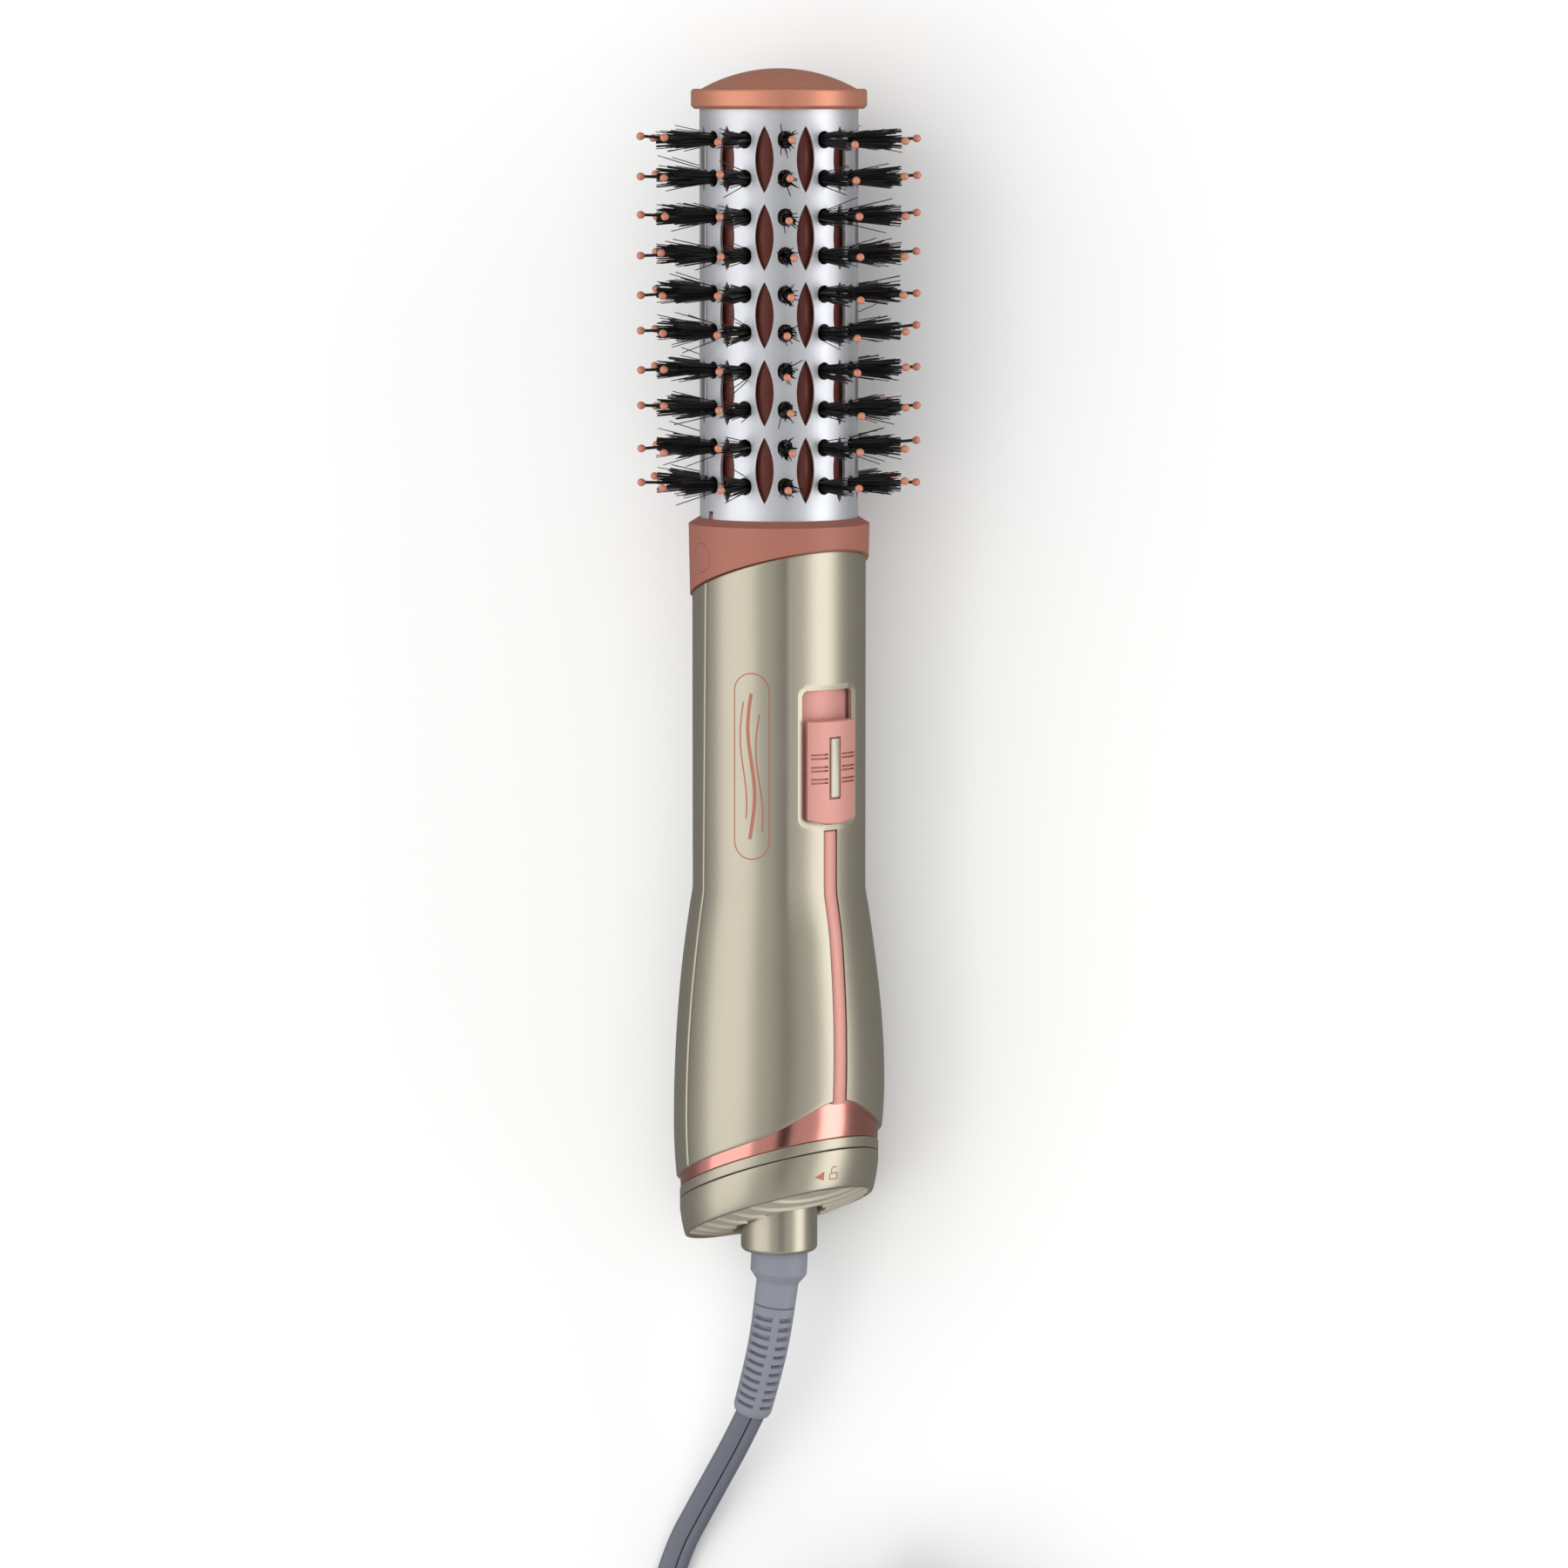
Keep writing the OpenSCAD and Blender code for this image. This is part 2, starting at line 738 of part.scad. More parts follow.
module motor_mount() {
    color([0.35, 0.35, 0.36]) lie_down() {
        pipe(22.1, 20.4, -129.3, -121.7);
        pipe(motor_r + 1.6, motor_r + 0.02, -129.3, -121.7);
        for (a = [0 : 120 : 359]) rotate([0, 0, a + 90])
            translate([motor_r + 1, -1.2, -129.3]) cube([8.2, 2.4, 7.6]);
    }
}

module motor_shaft() {
    color(steel) lie_down() translate([0, 0, motor_low + 5]) cylinder(r = 1, h = 34);
}

module fan_impeller() {
    blades = 7;
    color([0.15, 0.15, 0.16]) lie_down() difference() {
        union() {
            translate([0, 0, fan_z - 4.4]) cylinder(r = 6, h = 8.8);
            intersection() {
                for (k = [0 : blades - 1]) rotate([0, 0, k * 360 / blades]) translate([5.4, 0, fan_z])
                    rotate([38, 0, 0]) translate([0, -5, -0.5]) cube([11, 10, 1]);
                translate([0, 0, fan_z - 4.2]) cylinder(r = 15.6, h = 8.4);
            }
        }
        translate([0, 0, fan_z - 8]) cylinder(r = 1, h = 7.5 + 8);
    }
}

module rectifier_board() {
    color([0.10, 0.35, 0.20]) lie_down() translate([0, 0, motor_low - 3]) cylinder(r = 10, h = 1.6);
}

module rectifier_diodes() {
    color(black) lie_down() for (x = [-4.5, 4.5], y = [-4, 4])
        translate([x, y, motor_low - 4.35]) rotate([0, 90, 0]) translate([0, 0, -2.5])
            cylinder(r = 1.3, h = 5, $fn = 24);
}

// ---- switch ----

module switch_block() {
    color(black) lie_down() difference() {
        translate([-4.5, -16.9, -74]) cube([9, 5, 30]);
        translate([-1.8, -18, -64]) cube([3.6, 3.6, 16]);
    }
}

module switch_slider() {
    color(rose) lie_down() {
        difference() {
            intersection() {
                pipe(21.9, 19.9, slider_foot, slider_top);
                front_bar(slider_x, slider_top, slider_foot, 2.2);
            }
            front_bar(1.55, -51.9, -66.3, 0.5);
        }
        // grip lines either side of the inlay
        intersection() {
            for (z = [-56.2, -59.2, -62.1], up = [-0.45, 0.45]) pipe(22.2, 21.5, z + up - 0.2, z + up + 0.2);
            for (x = [-6.6, 2.4]) translate([x, -30, -70]) cube([4.2, 30, 20]);
        }
        // stem into the switch
        translate([-2.2, -20, -62]) cube([4.4, 1.4, 4]);
        translate([-1.5, -18.7, -62]) cube([3, 3.3, 4]);
    }
}

module slider_skirt() {
    color(rose) lie_down() difference() {
        intersection() {
            pipe(18.4, 17.8, -82, -38.5);
            translate([-9.5, -30, -90]) cube([19, 30, 60]);
        }
        translate([-1.55, -30, -62.05]) cube([3.1, 30, 4.1]);
    }
}

module slider_inlay() {
    color([0.86, 0.80, 0.70]) lie_down() intersection() {
        pipe(22, 20.3, slider_foot, slider_top);
        front_bar(1.5, -51.95, -66.25, 0.45);
    }
}

module lead_wires() {
    left = [[-1.8, 0, -164], [-2.2, -0.5, -158], [-5, -4, -151], [-9, -9, -144], [-11, -12, -136],
        [-11.5, -13.5, -126], [-11.2, -14.2, -112], [-10.6, -14.8, -96], [-7, -13.8, -88],
        [-4, -14, -80], [-3, -14.2, -74.1]];
    color([0.20, 0.22, 0.25]) lie_down() for (side = [1, -1])
        tube_along([for (p = left) [p.x * side, p.y, p.z]], 0.7, 0.7, 0.5, 8, [0, 1, 0]);
}

// ---- cord, in the finished frame ----

module strain_relief() {
    n = len(relief_route) - 1;
    color(relief_grey) {
        lie_down() {
            translate([0, 0, -176.2]) cylinder(r = 8.2, h = 2);
            translate([0, 0, -185]) cylinder(r = 6.9, h = 10);
        }
        skin([for (k = [0 : 14]) let (t = 1 + (n - 1) * k / 14, r = 6.2 - 1.6 * k / 14)
            ring(relief_route, t, r, r * (1 - 0.2 * k / 14), relief_n)]);
    }
}

module power_cord() {
    color(cord_grey) {
        skin([for (t = [0 : 0.25 : len(cord_route) - 1])
            ring(cord_route, t, cord_w / 2, cord_t / 2, 10, turn = 90 * ease(t, edge_from, edge_to))]);
        tube_along(tail_route, cord_t / 2, cord_w / 2, 0.25);
    }
}

module cord_coil() {
    low = coil_r - coil_half;
    high = coil_r + coil_half;
    color(cord_grey) translate([coil_x, coil_y, 0]) rotate_extrude() polygon([
        [low, 0], [high, 0], [high, cord_w], [high - cord_t, cord_w], [high - cord_t, coil_h], [low, coil_h]]);
}

module cord_tie() {
    tie_t = 0.7;
    tie_l = 8;
    half = coil_half;
    outer = [[-half - tie_t, 0], [half + tie_t, 0], [half + tie_t, cord_w + tie_t / 2],
        [half - cord_t + tie_t, coil_h + tie_t], [-half - tie_t, coil_h + tie_t]];
    inner = [[-half, tie_t], [half, tie_t], [half, cord_w], [half - cord_t, coil_h], [-half, coil_h]];
    color(black) translate([coil_x + coil_r, coil_y + tie_l / 2, 0]) rotate([90, 0, 0])
        linear_extrude(height = tie_l) difference() {
            polygon(outer);
            polygon(inner);
        }
}

// Upright on the plug, turned so that its cord end (-x) faces -y and its blades (-y) face +x
module on_plug() {
    translate([plug_at.x, plug_at.y, plug_at.z + plug_w / 2]) rotate([0, 0, 90]) children();
}

button_x = 6.5;
button_l = 3;
button_h = 4;

module plug_body() {
    color(cord_grey) on_plug() difference() {
        translate([0, plug_t / 2, 0]) rotate([90, 0, 0]) linear_extrude(height = plug_t) rounded(plug_l / 2, plug_w / 2, 5);
        for (x = [-button_x, button_x])
            translate([x - button_l - 0.15, plug_t / 2 - 4, -button_h - 0.15]) cube([2 * button_l + 0.3, 5, 2 * button_h + 0.3]);
    }
}

module plug_blades() {
    color([0.80, 0.72, 0.45]) on_plug() for (z = [-6.35, 6.35]) difference() {
        translate([4 - 3.2, -plug_t / 2 - 16, z - 0.75]) cube([6.4, 16, 1.5]);
        translate([4, -plug_t / 2 - 12.5, z - 2]) cylinder(r = 1.6, h = 4);
    }
}

module plug_relief() {
    color(cord_grey) on_plug() translate([-plug_l / 2, 0, 0]) rotate([0, -90, 0])
        rotate_extrude() polygon(concat([[0, 0], [6, 0]],
            [for (k = [0 : 5]) each [[5.9 - 0.25 * k, 3 * k + 1], [5.2 - 0.25 * k, 3 * k + 1.2],
                [5.2 - 0.25 * k, 3 * k + 2.4], [5.7 - 0.25 * k, 3 * k + 2.6]]],
            [[4.3, plug_relief_l], [0, plug_relief_l]]));
}

module plug_button(x, tint) {
    color(tint) on_plug() translate([x - button_l, plug_t / 2 - 2.6, -button_h])
        cube([2 * button_l, 3.6, 2 * button_h]);
}

module test_button() { plug_button(-button_x, [0.15, 0.15, 0.16]); }
module reset_button() { plug_button(button_x, [0.75, 0.20, 0.15]); }

tip_cap();
cap_screw();
barrel();
bristle_core();
bristle_strip(0);  // bristle_strip_01
bristle_strip(1);  // bristle_strip_02
bristle_strip(2);  // bristle_strip_03
bristle_strip(3);  // bristle_strip_04
bristle_strip(4);  // bristle_strip_05
bristle_strip(5);  // bristle_strip_06
bristle_strip(6);  // bristle_strip_07
bristle_strip(7);  // bristle_strip_08
bristle_strip(8);  // bristle_strip_09
bristle_strip(9);  // bristle_strip_10
bristle_strip(10);  // bristle_strip_11
bristle_strip(11);  // bristle_strip_12
bristle_tufts();
pin_stems();
pin_balls();
collar();
latch_tongue();
release_button();
handle_front_shell();
handle_rear_shell();
shell_screws();
accent_strip();
accent_band();
tail_ring();
tail_cap();
lint_filter();
neck();
cord_clamp();
air_duct();
heater_frame();
heater_coil();
thermostat();
thermal_fuse();
motor_case();
motor_mount();
motor_shaft();
fan_impeller();
rectifier_board();
rectifier_diodes();
switch_block();
switch_slider();
slider_skirt();
slider_inlay();
lead_wires();
strain_relief();
power_cord();
cord_coil();
cord_tie();
plug_body();
plug_blades();
plug_relief();
test_button();
reset_button();
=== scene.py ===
"""Looks of the hot air brush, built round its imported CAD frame.

The brush is described in its upright frame, in millimetres: z along its axis with the tip up, zero at the
top of the collar, and the switch side towards -y. An angle psi is counted in degrees from the switch side
towards +x. LIE lays an upright point down in the frame of the CAD model, in metres.
"""

import math

import bmesh
import bpy
import numpy as np
from mathutils import Matrix, Vector


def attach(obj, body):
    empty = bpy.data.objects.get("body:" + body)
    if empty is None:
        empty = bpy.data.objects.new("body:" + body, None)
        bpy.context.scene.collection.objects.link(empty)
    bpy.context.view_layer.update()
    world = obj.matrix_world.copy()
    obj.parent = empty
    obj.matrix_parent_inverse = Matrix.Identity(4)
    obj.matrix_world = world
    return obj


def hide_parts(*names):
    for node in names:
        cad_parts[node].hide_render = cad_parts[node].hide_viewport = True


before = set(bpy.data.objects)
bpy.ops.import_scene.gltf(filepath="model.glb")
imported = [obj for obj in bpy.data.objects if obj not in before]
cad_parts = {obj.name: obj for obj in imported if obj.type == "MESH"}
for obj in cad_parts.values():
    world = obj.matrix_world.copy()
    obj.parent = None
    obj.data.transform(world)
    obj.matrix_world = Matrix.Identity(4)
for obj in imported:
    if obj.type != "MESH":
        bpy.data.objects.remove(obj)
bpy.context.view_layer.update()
MM = 0.001
DRAWS = np.random.default_rng(7)

# ---- driving dimensions, millimetres and degrees ----
REST_TILT = 2.755
REST_ROLL = 48.5
REST_Y = 35.9
COLUMNS = 12
ROWS = 10
ROW_PITCH = 9.134
ROW_LOW = 8.3
FIRST_COLUMN = -3.5
TUFT_ROOT = 14.5
BRISTLE_REACH = 29.5
PIN_REACH = 34.2
BALL_R = 0.95
GRIP_R = 20.92
BULB_R = 25.6
BULGE_Z = -90
WIDEST_Z = -141.5
TAIL_R = 24.15
NECK_R = 9.3
NECK_LOW = -178.9
COLLAR_SLOPE = 0.34
CASING_TOP = -14.25
TAIL_SLOPE = 0.40
CASING_FOOT = -154.8
BAND_MID = -157.8
JOINT_MID = -160.6
RIM_MID = -169.8
SEAM_Y = 1.7
SEAM_Z = -18
SEAM_LEAN = math.tan(math.radians(1))
CREASE = 32
WINDOW_X = 7.5
WINDOW_TOP = -40.5
WINDOW_FOOT = -73
SLIDER_X = 7.2
SLIDER_TOP = -47.7
SLIDER_FOOT = -72.7
STRIP_X = 1.85
STRIP_TOP = -74.4
STRIP_LEAN = -1.4
CORD_W = 7
CORD_T = 3.6
COIL_AT = (12, -280)
COIL_R = 41.5
COIL_LANES = 4

REST_H = (((PIN_REACH - BALL_R) * math.cos(math.pi / COLUMNS) + BALL_R) * math.cos(math.radians(REST_TILT))
          - ROW_LOW * math.sin(math.radians(REST_TILT)))
LIE = (Matrix.Scale(MM, 4) @ Matrix.Translation((0, REST_Y, REST_H))
       @ Matrix.Rotation(math.radians(REST_TILT - 90), 4, "X")
       @ Matrix.Rotation(math.radians(REST_ROLL), 4, "Z"))
STAND = LIE.inverted()


# ---- camera, light and floor ----
def facing(eye, target, up):
    """Matrix of something at eye that looks at target."""
    back = (eye - target).normalized()
    right = up.cross(back).normalized()
    turn = Matrix((right, back.cross(right), back)).transposed()
    return Matrix.Translation(eye) @ turn.to_4x4()


def upright(x, y, z):
    """An upright point in the CAD model's frame."""
    return LIE @ Vector((x, y, z))


VIEW_PSI = -38
VIEW_DISTANCE = 1589
VIEW_FROM_Z = 104.7
VIEW_AT_Z = -64.8
VIEW_ASIDE = 1.2
HALF_ANGLE = 6.77

camera = bpy.data.objects.new("camera", bpy.data.cameras.new("camera"))
bpy.context.scene.collection.objects.link(camera)
bpy.context.scene.camera = camera
view_sin, view_cos = math.sin(math.radians(VIEW_PSI)), math.cos(math.radians(VIEW_PSI))
aside = VIEW_ASIDE * Vector((view_cos, view_sin, 0))
axis_up = (upright(0, 0, 1) - upright(0, 0, 0)).normalized()
camera.matrix_world = facing(
    upright(*(aside + Vector((VIEW_DISTANCE * view_sin, -VIEW_DISTANCE * view_cos, VIEW_FROM_Z)))),
    upright(*(aside + Vector((0, 0, VIEW_AT_Z)))), axis_up)
camera.data.sensor_width = 36
camera.data.lens = camera.data.sensor_width / 2 / math.tan(math.radians(HALF_ANGLE))
camera.data.clip_start = 0.05
camera.data.clip_end = 50


MIDDLE = Vector((0, -0.03, 0.03))
SQUARE = ((-1, -1), (1, -1), (1, 1), (-1, 1))


def overhead(alpha):
    """Direction alpha degrees from straight up towards +X."""
    return Vector((math.sin(math.radians(alpha)), 0, math.cos(math.radians(alpha))))


def staged(name, corners, look):
    """A four-cornered sheet that belongs to the studio."""
    mesh = bpy.data.meshes.new(name)
    mesh.from_pydata(corners, [], [(0, 1, 2, 3)])
    made = bpy.data.objects.new(name, mesh)
    bpy.context.scene.collection.objects.link(made)
    mesh.materials.append(look)
    return made


def softbox(name, alpha, distance, wide, long, radiance):
    """A soft light aimed at the brush, alpha degrees from straight up towards +X."""
    light = bpy.data.lights.new(name, "AREA")
    light.shape = "RECTANGLE"
    light.size = wide
    light.size_y = long
    light.energy = radiance * math.pi * wide * long
    lamp = bpy.data.objects.new(name, light)
    bpy.context.scene.collection.objects.link(lamp)
    lamp.matrix_world = facing(MIDDLE + distance * overhead(alpha), MIDDLE, Vector((0, 1, 0)))
    return lamp


softbox("left_softbox", -48, 1.1, 1.15, 1.9, 0.85)
softbox("right_softbox", 76, 1.0, 0.55, 1.9, 1.6)
fill = softbox("overhead_fill", 0, 2.2, 3.0, 3.0, 1.1)
fill.visible_glossy = False


def studio():
    """A grey room, darker below the level of the floor."""
    world = bpy.data.worlds.new("studio")
    bpy.context.scene.world = world
    world.use_nodes = True
    nodes, links = world.node_tree.nodes, world.node_tree.links
    place = nodes.new("ShaderNodeTexCoord")
    split = nodes.new("ShaderNodeSeparateXYZ")
    links.new(place.outputs["Generated"], split.inputs["Vector"])
    level = nodes.new("ShaderNodeMapRange")
    level.inputs["From Min"].default_value = -0.25
    level.inputs["From Max"].default_value = 0.05
    level.inputs["To Min"].default_value = 0.18
    level.inputs["To Max"].default_value = 0.50
    links.new(split.outputs["Z"], level.inputs["Value"])
    links.new(level.outputs["Result"], nodes["Background"].inputs["Strength"])
    nodes["Background"].inputs["Color"].default_value = (1, 1, 1, 1)


studio()
bpy.context.scene.view_settings.view_transform = "Standard"


# ---- materials ----
def linear(red, green, blue):
    """A colour as light, from its values on a screen of 0 to 255."""
    return tuple((c / 255 / 12.92) if c <= 10 else ((c / 255 + 0.055) / 1.055) ** 2.4
                 for c in (red, green, blue)) + (1,)


def shaded(color, factor):
    return tuple(c * factor for c in color[:3]) + (1,)


LOOKS = {}


def material(name, screen_color, rough, metallic=0.0, *, grain, speckle=0.10, bump=0.010, coat=0.0,
             stretch=(1, 1, 1), uneven=0.06, specular=0.5):
    """A moulded, painted or metal surface: grain is the size of its texture in millimetres, speckle and
    uneven how much its colour and its roughness vary, bump how deep the texture is in millimetres, and
    stretch draws the texture out along the upright axes."""
    color = linear(*screen_color)
    made = LOOKS[name] = bpy.data.materials.new(name)
    made.use_nodes = True
    nodes, links = made.node_tree.nodes, made.node_tree.links
    shader = nodes["Principled BSDF"]
    shader.inputs["Metallic"].default_value = metallic
    shader.inputs["Coat Weight"].default_value = coat
    shader.inputs["Coat Roughness"].default_value = 0.1
    shader.inputs["Specular IOR Level"].default_value = specular
    place = nodes.new("ShaderNodeTexCoord")
    stand = nodes.new("ShaderNodeMapping")
    turn = STAND.to_3x3().normalized()
    stand.inputs["Rotation"].default_value = turn.to_euler()
    stand.inputs["Location"].default_value = STAND.translation
    stand.inputs["Scale"].default_value = (1 / MM, 1 / MM, 1 / MM)
    links.new(place.outputs["Object"], stand.inputs["Vector"])
    draw = nodes.new("ShaderNodeMapping")
    draw.inputs["Scale"].default_value = tuple(1 / (grain * s) for s in stretch)
    links.new(stand.outputs["Vector"], draw.inputs["Vector"])
    fine = nodes.new("ShaderNodeTexNoise")
    fine.inputs["Scale"].default_value = 1
    fine.inputs["Detail"].default_value = 3
    links.new(draw.outputs["Vector"], fine.inputs["Vector"])
    broad = nodes.new("ShaderNodeTexNoise")
    broad.inputs["Scale"].default_value = 0.06
    broad.inputs["Detail"].default_value = 2
    links.new(stand.outputs["Vector"], broad.inputs["Vector"])
    tint = nodes.new("ShaderNodeMix")
    tint.data_type = "RGBA"
    tint.inputs["A"].default_value = shaded(color, 1 - speckle)
    tint.inputs["B"].default_value = shaded(color, 1 + speckle)
    links.new(fine.outputs["Fac"], tint.inputs["Factor"])
    links.new(tint.outputs["Result"], shader.inputs["Base Color"])
    gloss = nodes.new("ShaderNodeMapRange")
    gloss.inputs["To Min"].default_value = max(0.02, rough - uneven)
    gloss.inputs["To Max"].default_value = min(1.0, rough + uneven)
    links.new(broad.outputs["Fac"], gloss.inputs["Value"])
    links.new(gloss.outputs["Result"], shader.inputs["Roughness"])
    relief = nodes.new("ShaderNodeBump")
    relief.inputs["Strength"].default_value = 1
    relief.inputs["Distance"].default_value = bump * MM
    links.new(fine.outputs["Fac"], relief.inputs["Height"])
    links.new(relief.outputs["Normal"], shader.inputs["Normal"])
    return made


material("copper_cap", (214, 144, 118), 0.40, 0.6, grain=0.35, speckle=0.13)
material("copper_matte", (166, 107, 92), 0.50, 0.25, grain=0.3, speckle=0.07, specular=0.35)
material("steel", (170, 170, 172), 0.30, 1.0, grain=0.2)
material("aluminium", (228, 230, 235), 0.46, 0.85, grain=0.30, speckle=0.05, bump=0.012)
material("core_brown", (92, 38, 28), 0.30, 0.0, grain=1.5, speckle=0.18, bump=0.004, coat=0.12,
         specular=0.35)
material("strip_brown", (70, 40, 32), 0.5, 0.0, grain=0.4, speckle=0.2)
material("bristle", (24, 22, 22), 0.42, 0.0, grain=0.5, speckle=0.4, bump=0.004, specular=0.4)
material("ball", (200, 128, 100), 0.28, 0.15, grain=0.4, speckle=0.15, bump=0.006, coat=0.3)
material("champagne", (190, 183, 165), 0.33, 0.88, grain=0.22, speckle=0.06, bump=0.006, uneven=0.03)
material("champagne_vent", (200, 193, 176), 0.5, 0.5, grain=0.22, speckle=0.06, bump=0.006)
material("rose", (208, 148, 138), 0.42, 0.35, grain=0.25, speckle=0.14, bump=0.016)
material("rose_chrome", (240, 166, 154), 0.20, 1.0, grain=2.5, speckle=0.03, bump=0.002, uneven=0.03)
material("print_copper", (176, 112, 92), 0.42, 0.5, grain=0.2, speckle=0.12)
material("cream", (186, 180, 164), 0.34, 0.7, grain=0.25, speckle=0.06)
material("filter", (60, 60, 60), 0.6, 0.4, grain=0.3, speckle=0.4, bump=0.05)
material("nylon", (225, 225, 218), 0.55, 0.0, grain=0.8, speckle=0.05)
material("duct", (226, 219, 196), 0.6, 0.0, grain=0.8, speckle=0.06)
material("mica", (190, 178, 142), 0.35, 0.0, grain=2.5, speckle=0.22, coat=0.2)
material("wire", (128, 120, 112), 0.42, 0.9, grain=0.15, speckle=0.2)
material("motor", (176, 178, 184), 0.32, 1.0, grain=0.5, stretch=(1, 1, 8))
material("dark", (44, 44, 48), 0.5, 0.0, grain=0.35, speckle=0.2)
material("board", (24, 92, 52), 0.4, 0.0, grain=0.9, speckle=0.3, coat=0.3)
material("sleeve", (54, 58, 66), 0.45, 0.0, grain=0.6, speckle=0.15)
material("relief", (130, 132, 143), 0.48, 0.0, grain=0.35, speckle=0.07, bump=0.015, specular=0.4)
material("cord", (100, 103, 113), 0.42, 0.0, grain=0.35, speckle=0.08, bump=0.012, specular=0.45)
material("tie", (30, 30, 32), 0.55, 0.0, grain=0.3, speckle=0.3, bump=0.03)
material("plug", (100, 103, 113), 0.5, 0.0, grain=0.4, speckle=0.08, bump=0.02)
material("brass", (212, 192, 130), 0.26, 1.0, grain=0.3, stretch=(6, 1, 1))
material("red", (176, 44, 36), 0.42, 0.0, grain=0.4, speckle=0.1)


def floor_material():
    """Seamless white paper."""
    made = bpy.data.materials.new("paper")
    made.use_nodes = True
    nodes, links = made.node_tree.nodes, made.node_tree.links
    shader = nodes["Principled BSDF"]
    shader.inputs["Roughness"].default_value = 0.9
    shader.inputs["Specular IOR Level"].default_value = 0.1
    fibre = nodes.new("ShaderNodeTexNoise")
    fibre.inputs["Scale"].default_value = 40
    tint = nodes.new("ShaderNodeMix")
    tint.data_type = "RGBA"
    tint.inputs["A"].default_value = (0.88, 0.88, 0.875, 1)
    tint.inputs["B"].default_value = (0.90, 0.90, 0.895, 1)
    links.new(fibre.outputs["Fac"], tint.inputs["Factor"])
    links.new(tint.outputs["Result"], shader.inputs["Base Color"])
    return made


def paper_floor():
    """The paper that the brush lies on, which reflections don't show."""
    half = 4.0
    corners = [(half * x, half * y, 0) for x, y in SQUARE]
    staged("floor", corners, floor_material()).visible_glossy = False


def black_card():
    """A narrow black board above the brush, beside the line of sight, that only reflections show."""
    alpha, distance, half, long = 17.5, 2.0, 0.27, 1.5
    centre = MIDDLE + overhead(alpha) * distance
    corners = [centre + overhead(alpha + 90) * half * x + Vector((0, long * y, 0)) for x, y in SQUARE]
    felt = material("black_felt", (30, 30, 32), 0.9, grain=3, speckle=0.2, specular=0.1)
    card = staged("black_card", corners, felt)
    card.visible_camera = card.visible_diffuse = card.visible_shadow = False


paper_floor()
black_card()


# ---- mesh helpers ----
def piece(name, points, faces, body, slot, look, lay_down=True, sharp=38):
    """A closed mesh from points in millimetres: upright ones, laid down here, or ones that lie already."""
    at = np.asarray(points, float).reshape(-1, 3)
    if lay_down:
        turn = np.array(LIE.to_3x3())
        at = at @ turn.T + np.array(LIE.translation)
    else:
        at = at * MM
    mesh = bpy.data.meshes.new(name)
    mesh.from_pydata(at.tolist(), [], faces)
    shape = bmesh.new()
    shape.from_mesh(mesh)
    bmesh.ops.remove_doubles(shape, verts=shape.verts, dist=1e-6)
    bmesh.ops.dissolve_degenerate(shape, dist=1e-7, edges=shape.edges)
    bmesh.ops.recalc_face_normals(shape, faces=shape.faces)
    if shape.calc_volume(signed=True) < 0:
        bmesh.ops.reverse_faces(shape, faces=shape.faces)
    shape.to_mesh(mesh)
    shape.free()
    made = bpy.data.objects.new(name, mesh)
    bpy.context.scene.collection.objects.link(made)
    smooth(mesh, sharp)
    mesh.materials.append(LOOKS[look])
    if body:
        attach(made, body)
    return made


def smooth(mesh, sharp):
    mesh.shade_smooth()
    mesh.set_sharp_from_angle(angle=math.radians(sharp))


def grid(count, width, wrap=True, first=0):
    """Quads over count rows of width points; wrap joins each row's ends."""
    sides = width if wrap else width - 1
    return [(first + i * width + j, first + i * width + (j + 1) % width,
             first + (i + 1) * width + (j + 1) % width, first + (i + 1) * width + j)
            for i in range(count - 1) for j in range(sides)]


def softened(corners, steps=6):
    """A closed outline through corners (x, y, radius) with each corner rounded by its radius."""
    out = []
    for k, (x, y, radius) in enumerate(corners):
        here = Vector((x, y))
        if radius == 0:
            out.append((x, y))
            continue
        to_last = (Vector(corners[k - 1][:2]) - here).normalized()
        to_next = (Vector(corners[(k + 1) % len(corners)][:2]) - here).normalized()
        half = to_last.angle(to_next) / 2
        centre = here + (to_last + to_next).normalized() * radius / math.sin(half)
        start = here + to_last * radius / math.tan(half) - centre
        sweep = start.angle_signed(here + to_next * radius / math.tan(half) - centre)
        for s in range(steps + 1):
            angle = -sweep * s / steps
            out.append((centre.x + start.x * math.cos(angle) - start.y * math.sin(angle),
                        centre.y + start.x * math.sin(angle) + start.y * math.cos(angle)))
    return out


def ring_grid(count, width):
    """Quads over count rows of width points, the last row joined to the first."""
    last = (count - 1) * width
    return grid(count, width) + [(last + j, last + (j + 1) % width, (j + 1) % width, j) for j in range(width)]


def turned(profile, slope=0.0, around=144):
    """Points and faces of a closed profile (r, z) turned about the axis; slope raises its front."""
    points = []
    for k in range(around):
        psi = 2 * math.pi * k / around
        points += [(r * math.sin(psi), -r * math.cos(psi), z + slope * r * math.cos(psi)) for r, z in profile]
    return points, ring_grid(around, len(profile))


def spun(r, psi, z):
    """Upright points from radius, angle in degrees and height, all arrays."""
    angle = np.radians(psi)
    return np.stack([r * np.sin(angle), -r * np.cos(angle), z + 0 * r], axis=-1)


def joined(parts):
    """Several (points, faces) as one."""
    points, faces = [], []
    for some, those in parts:
        first = len(points)
        points += [tuple(p) for p in some]
        faces += [tuple(first + i for i in f) for f in those]
    return points, faces


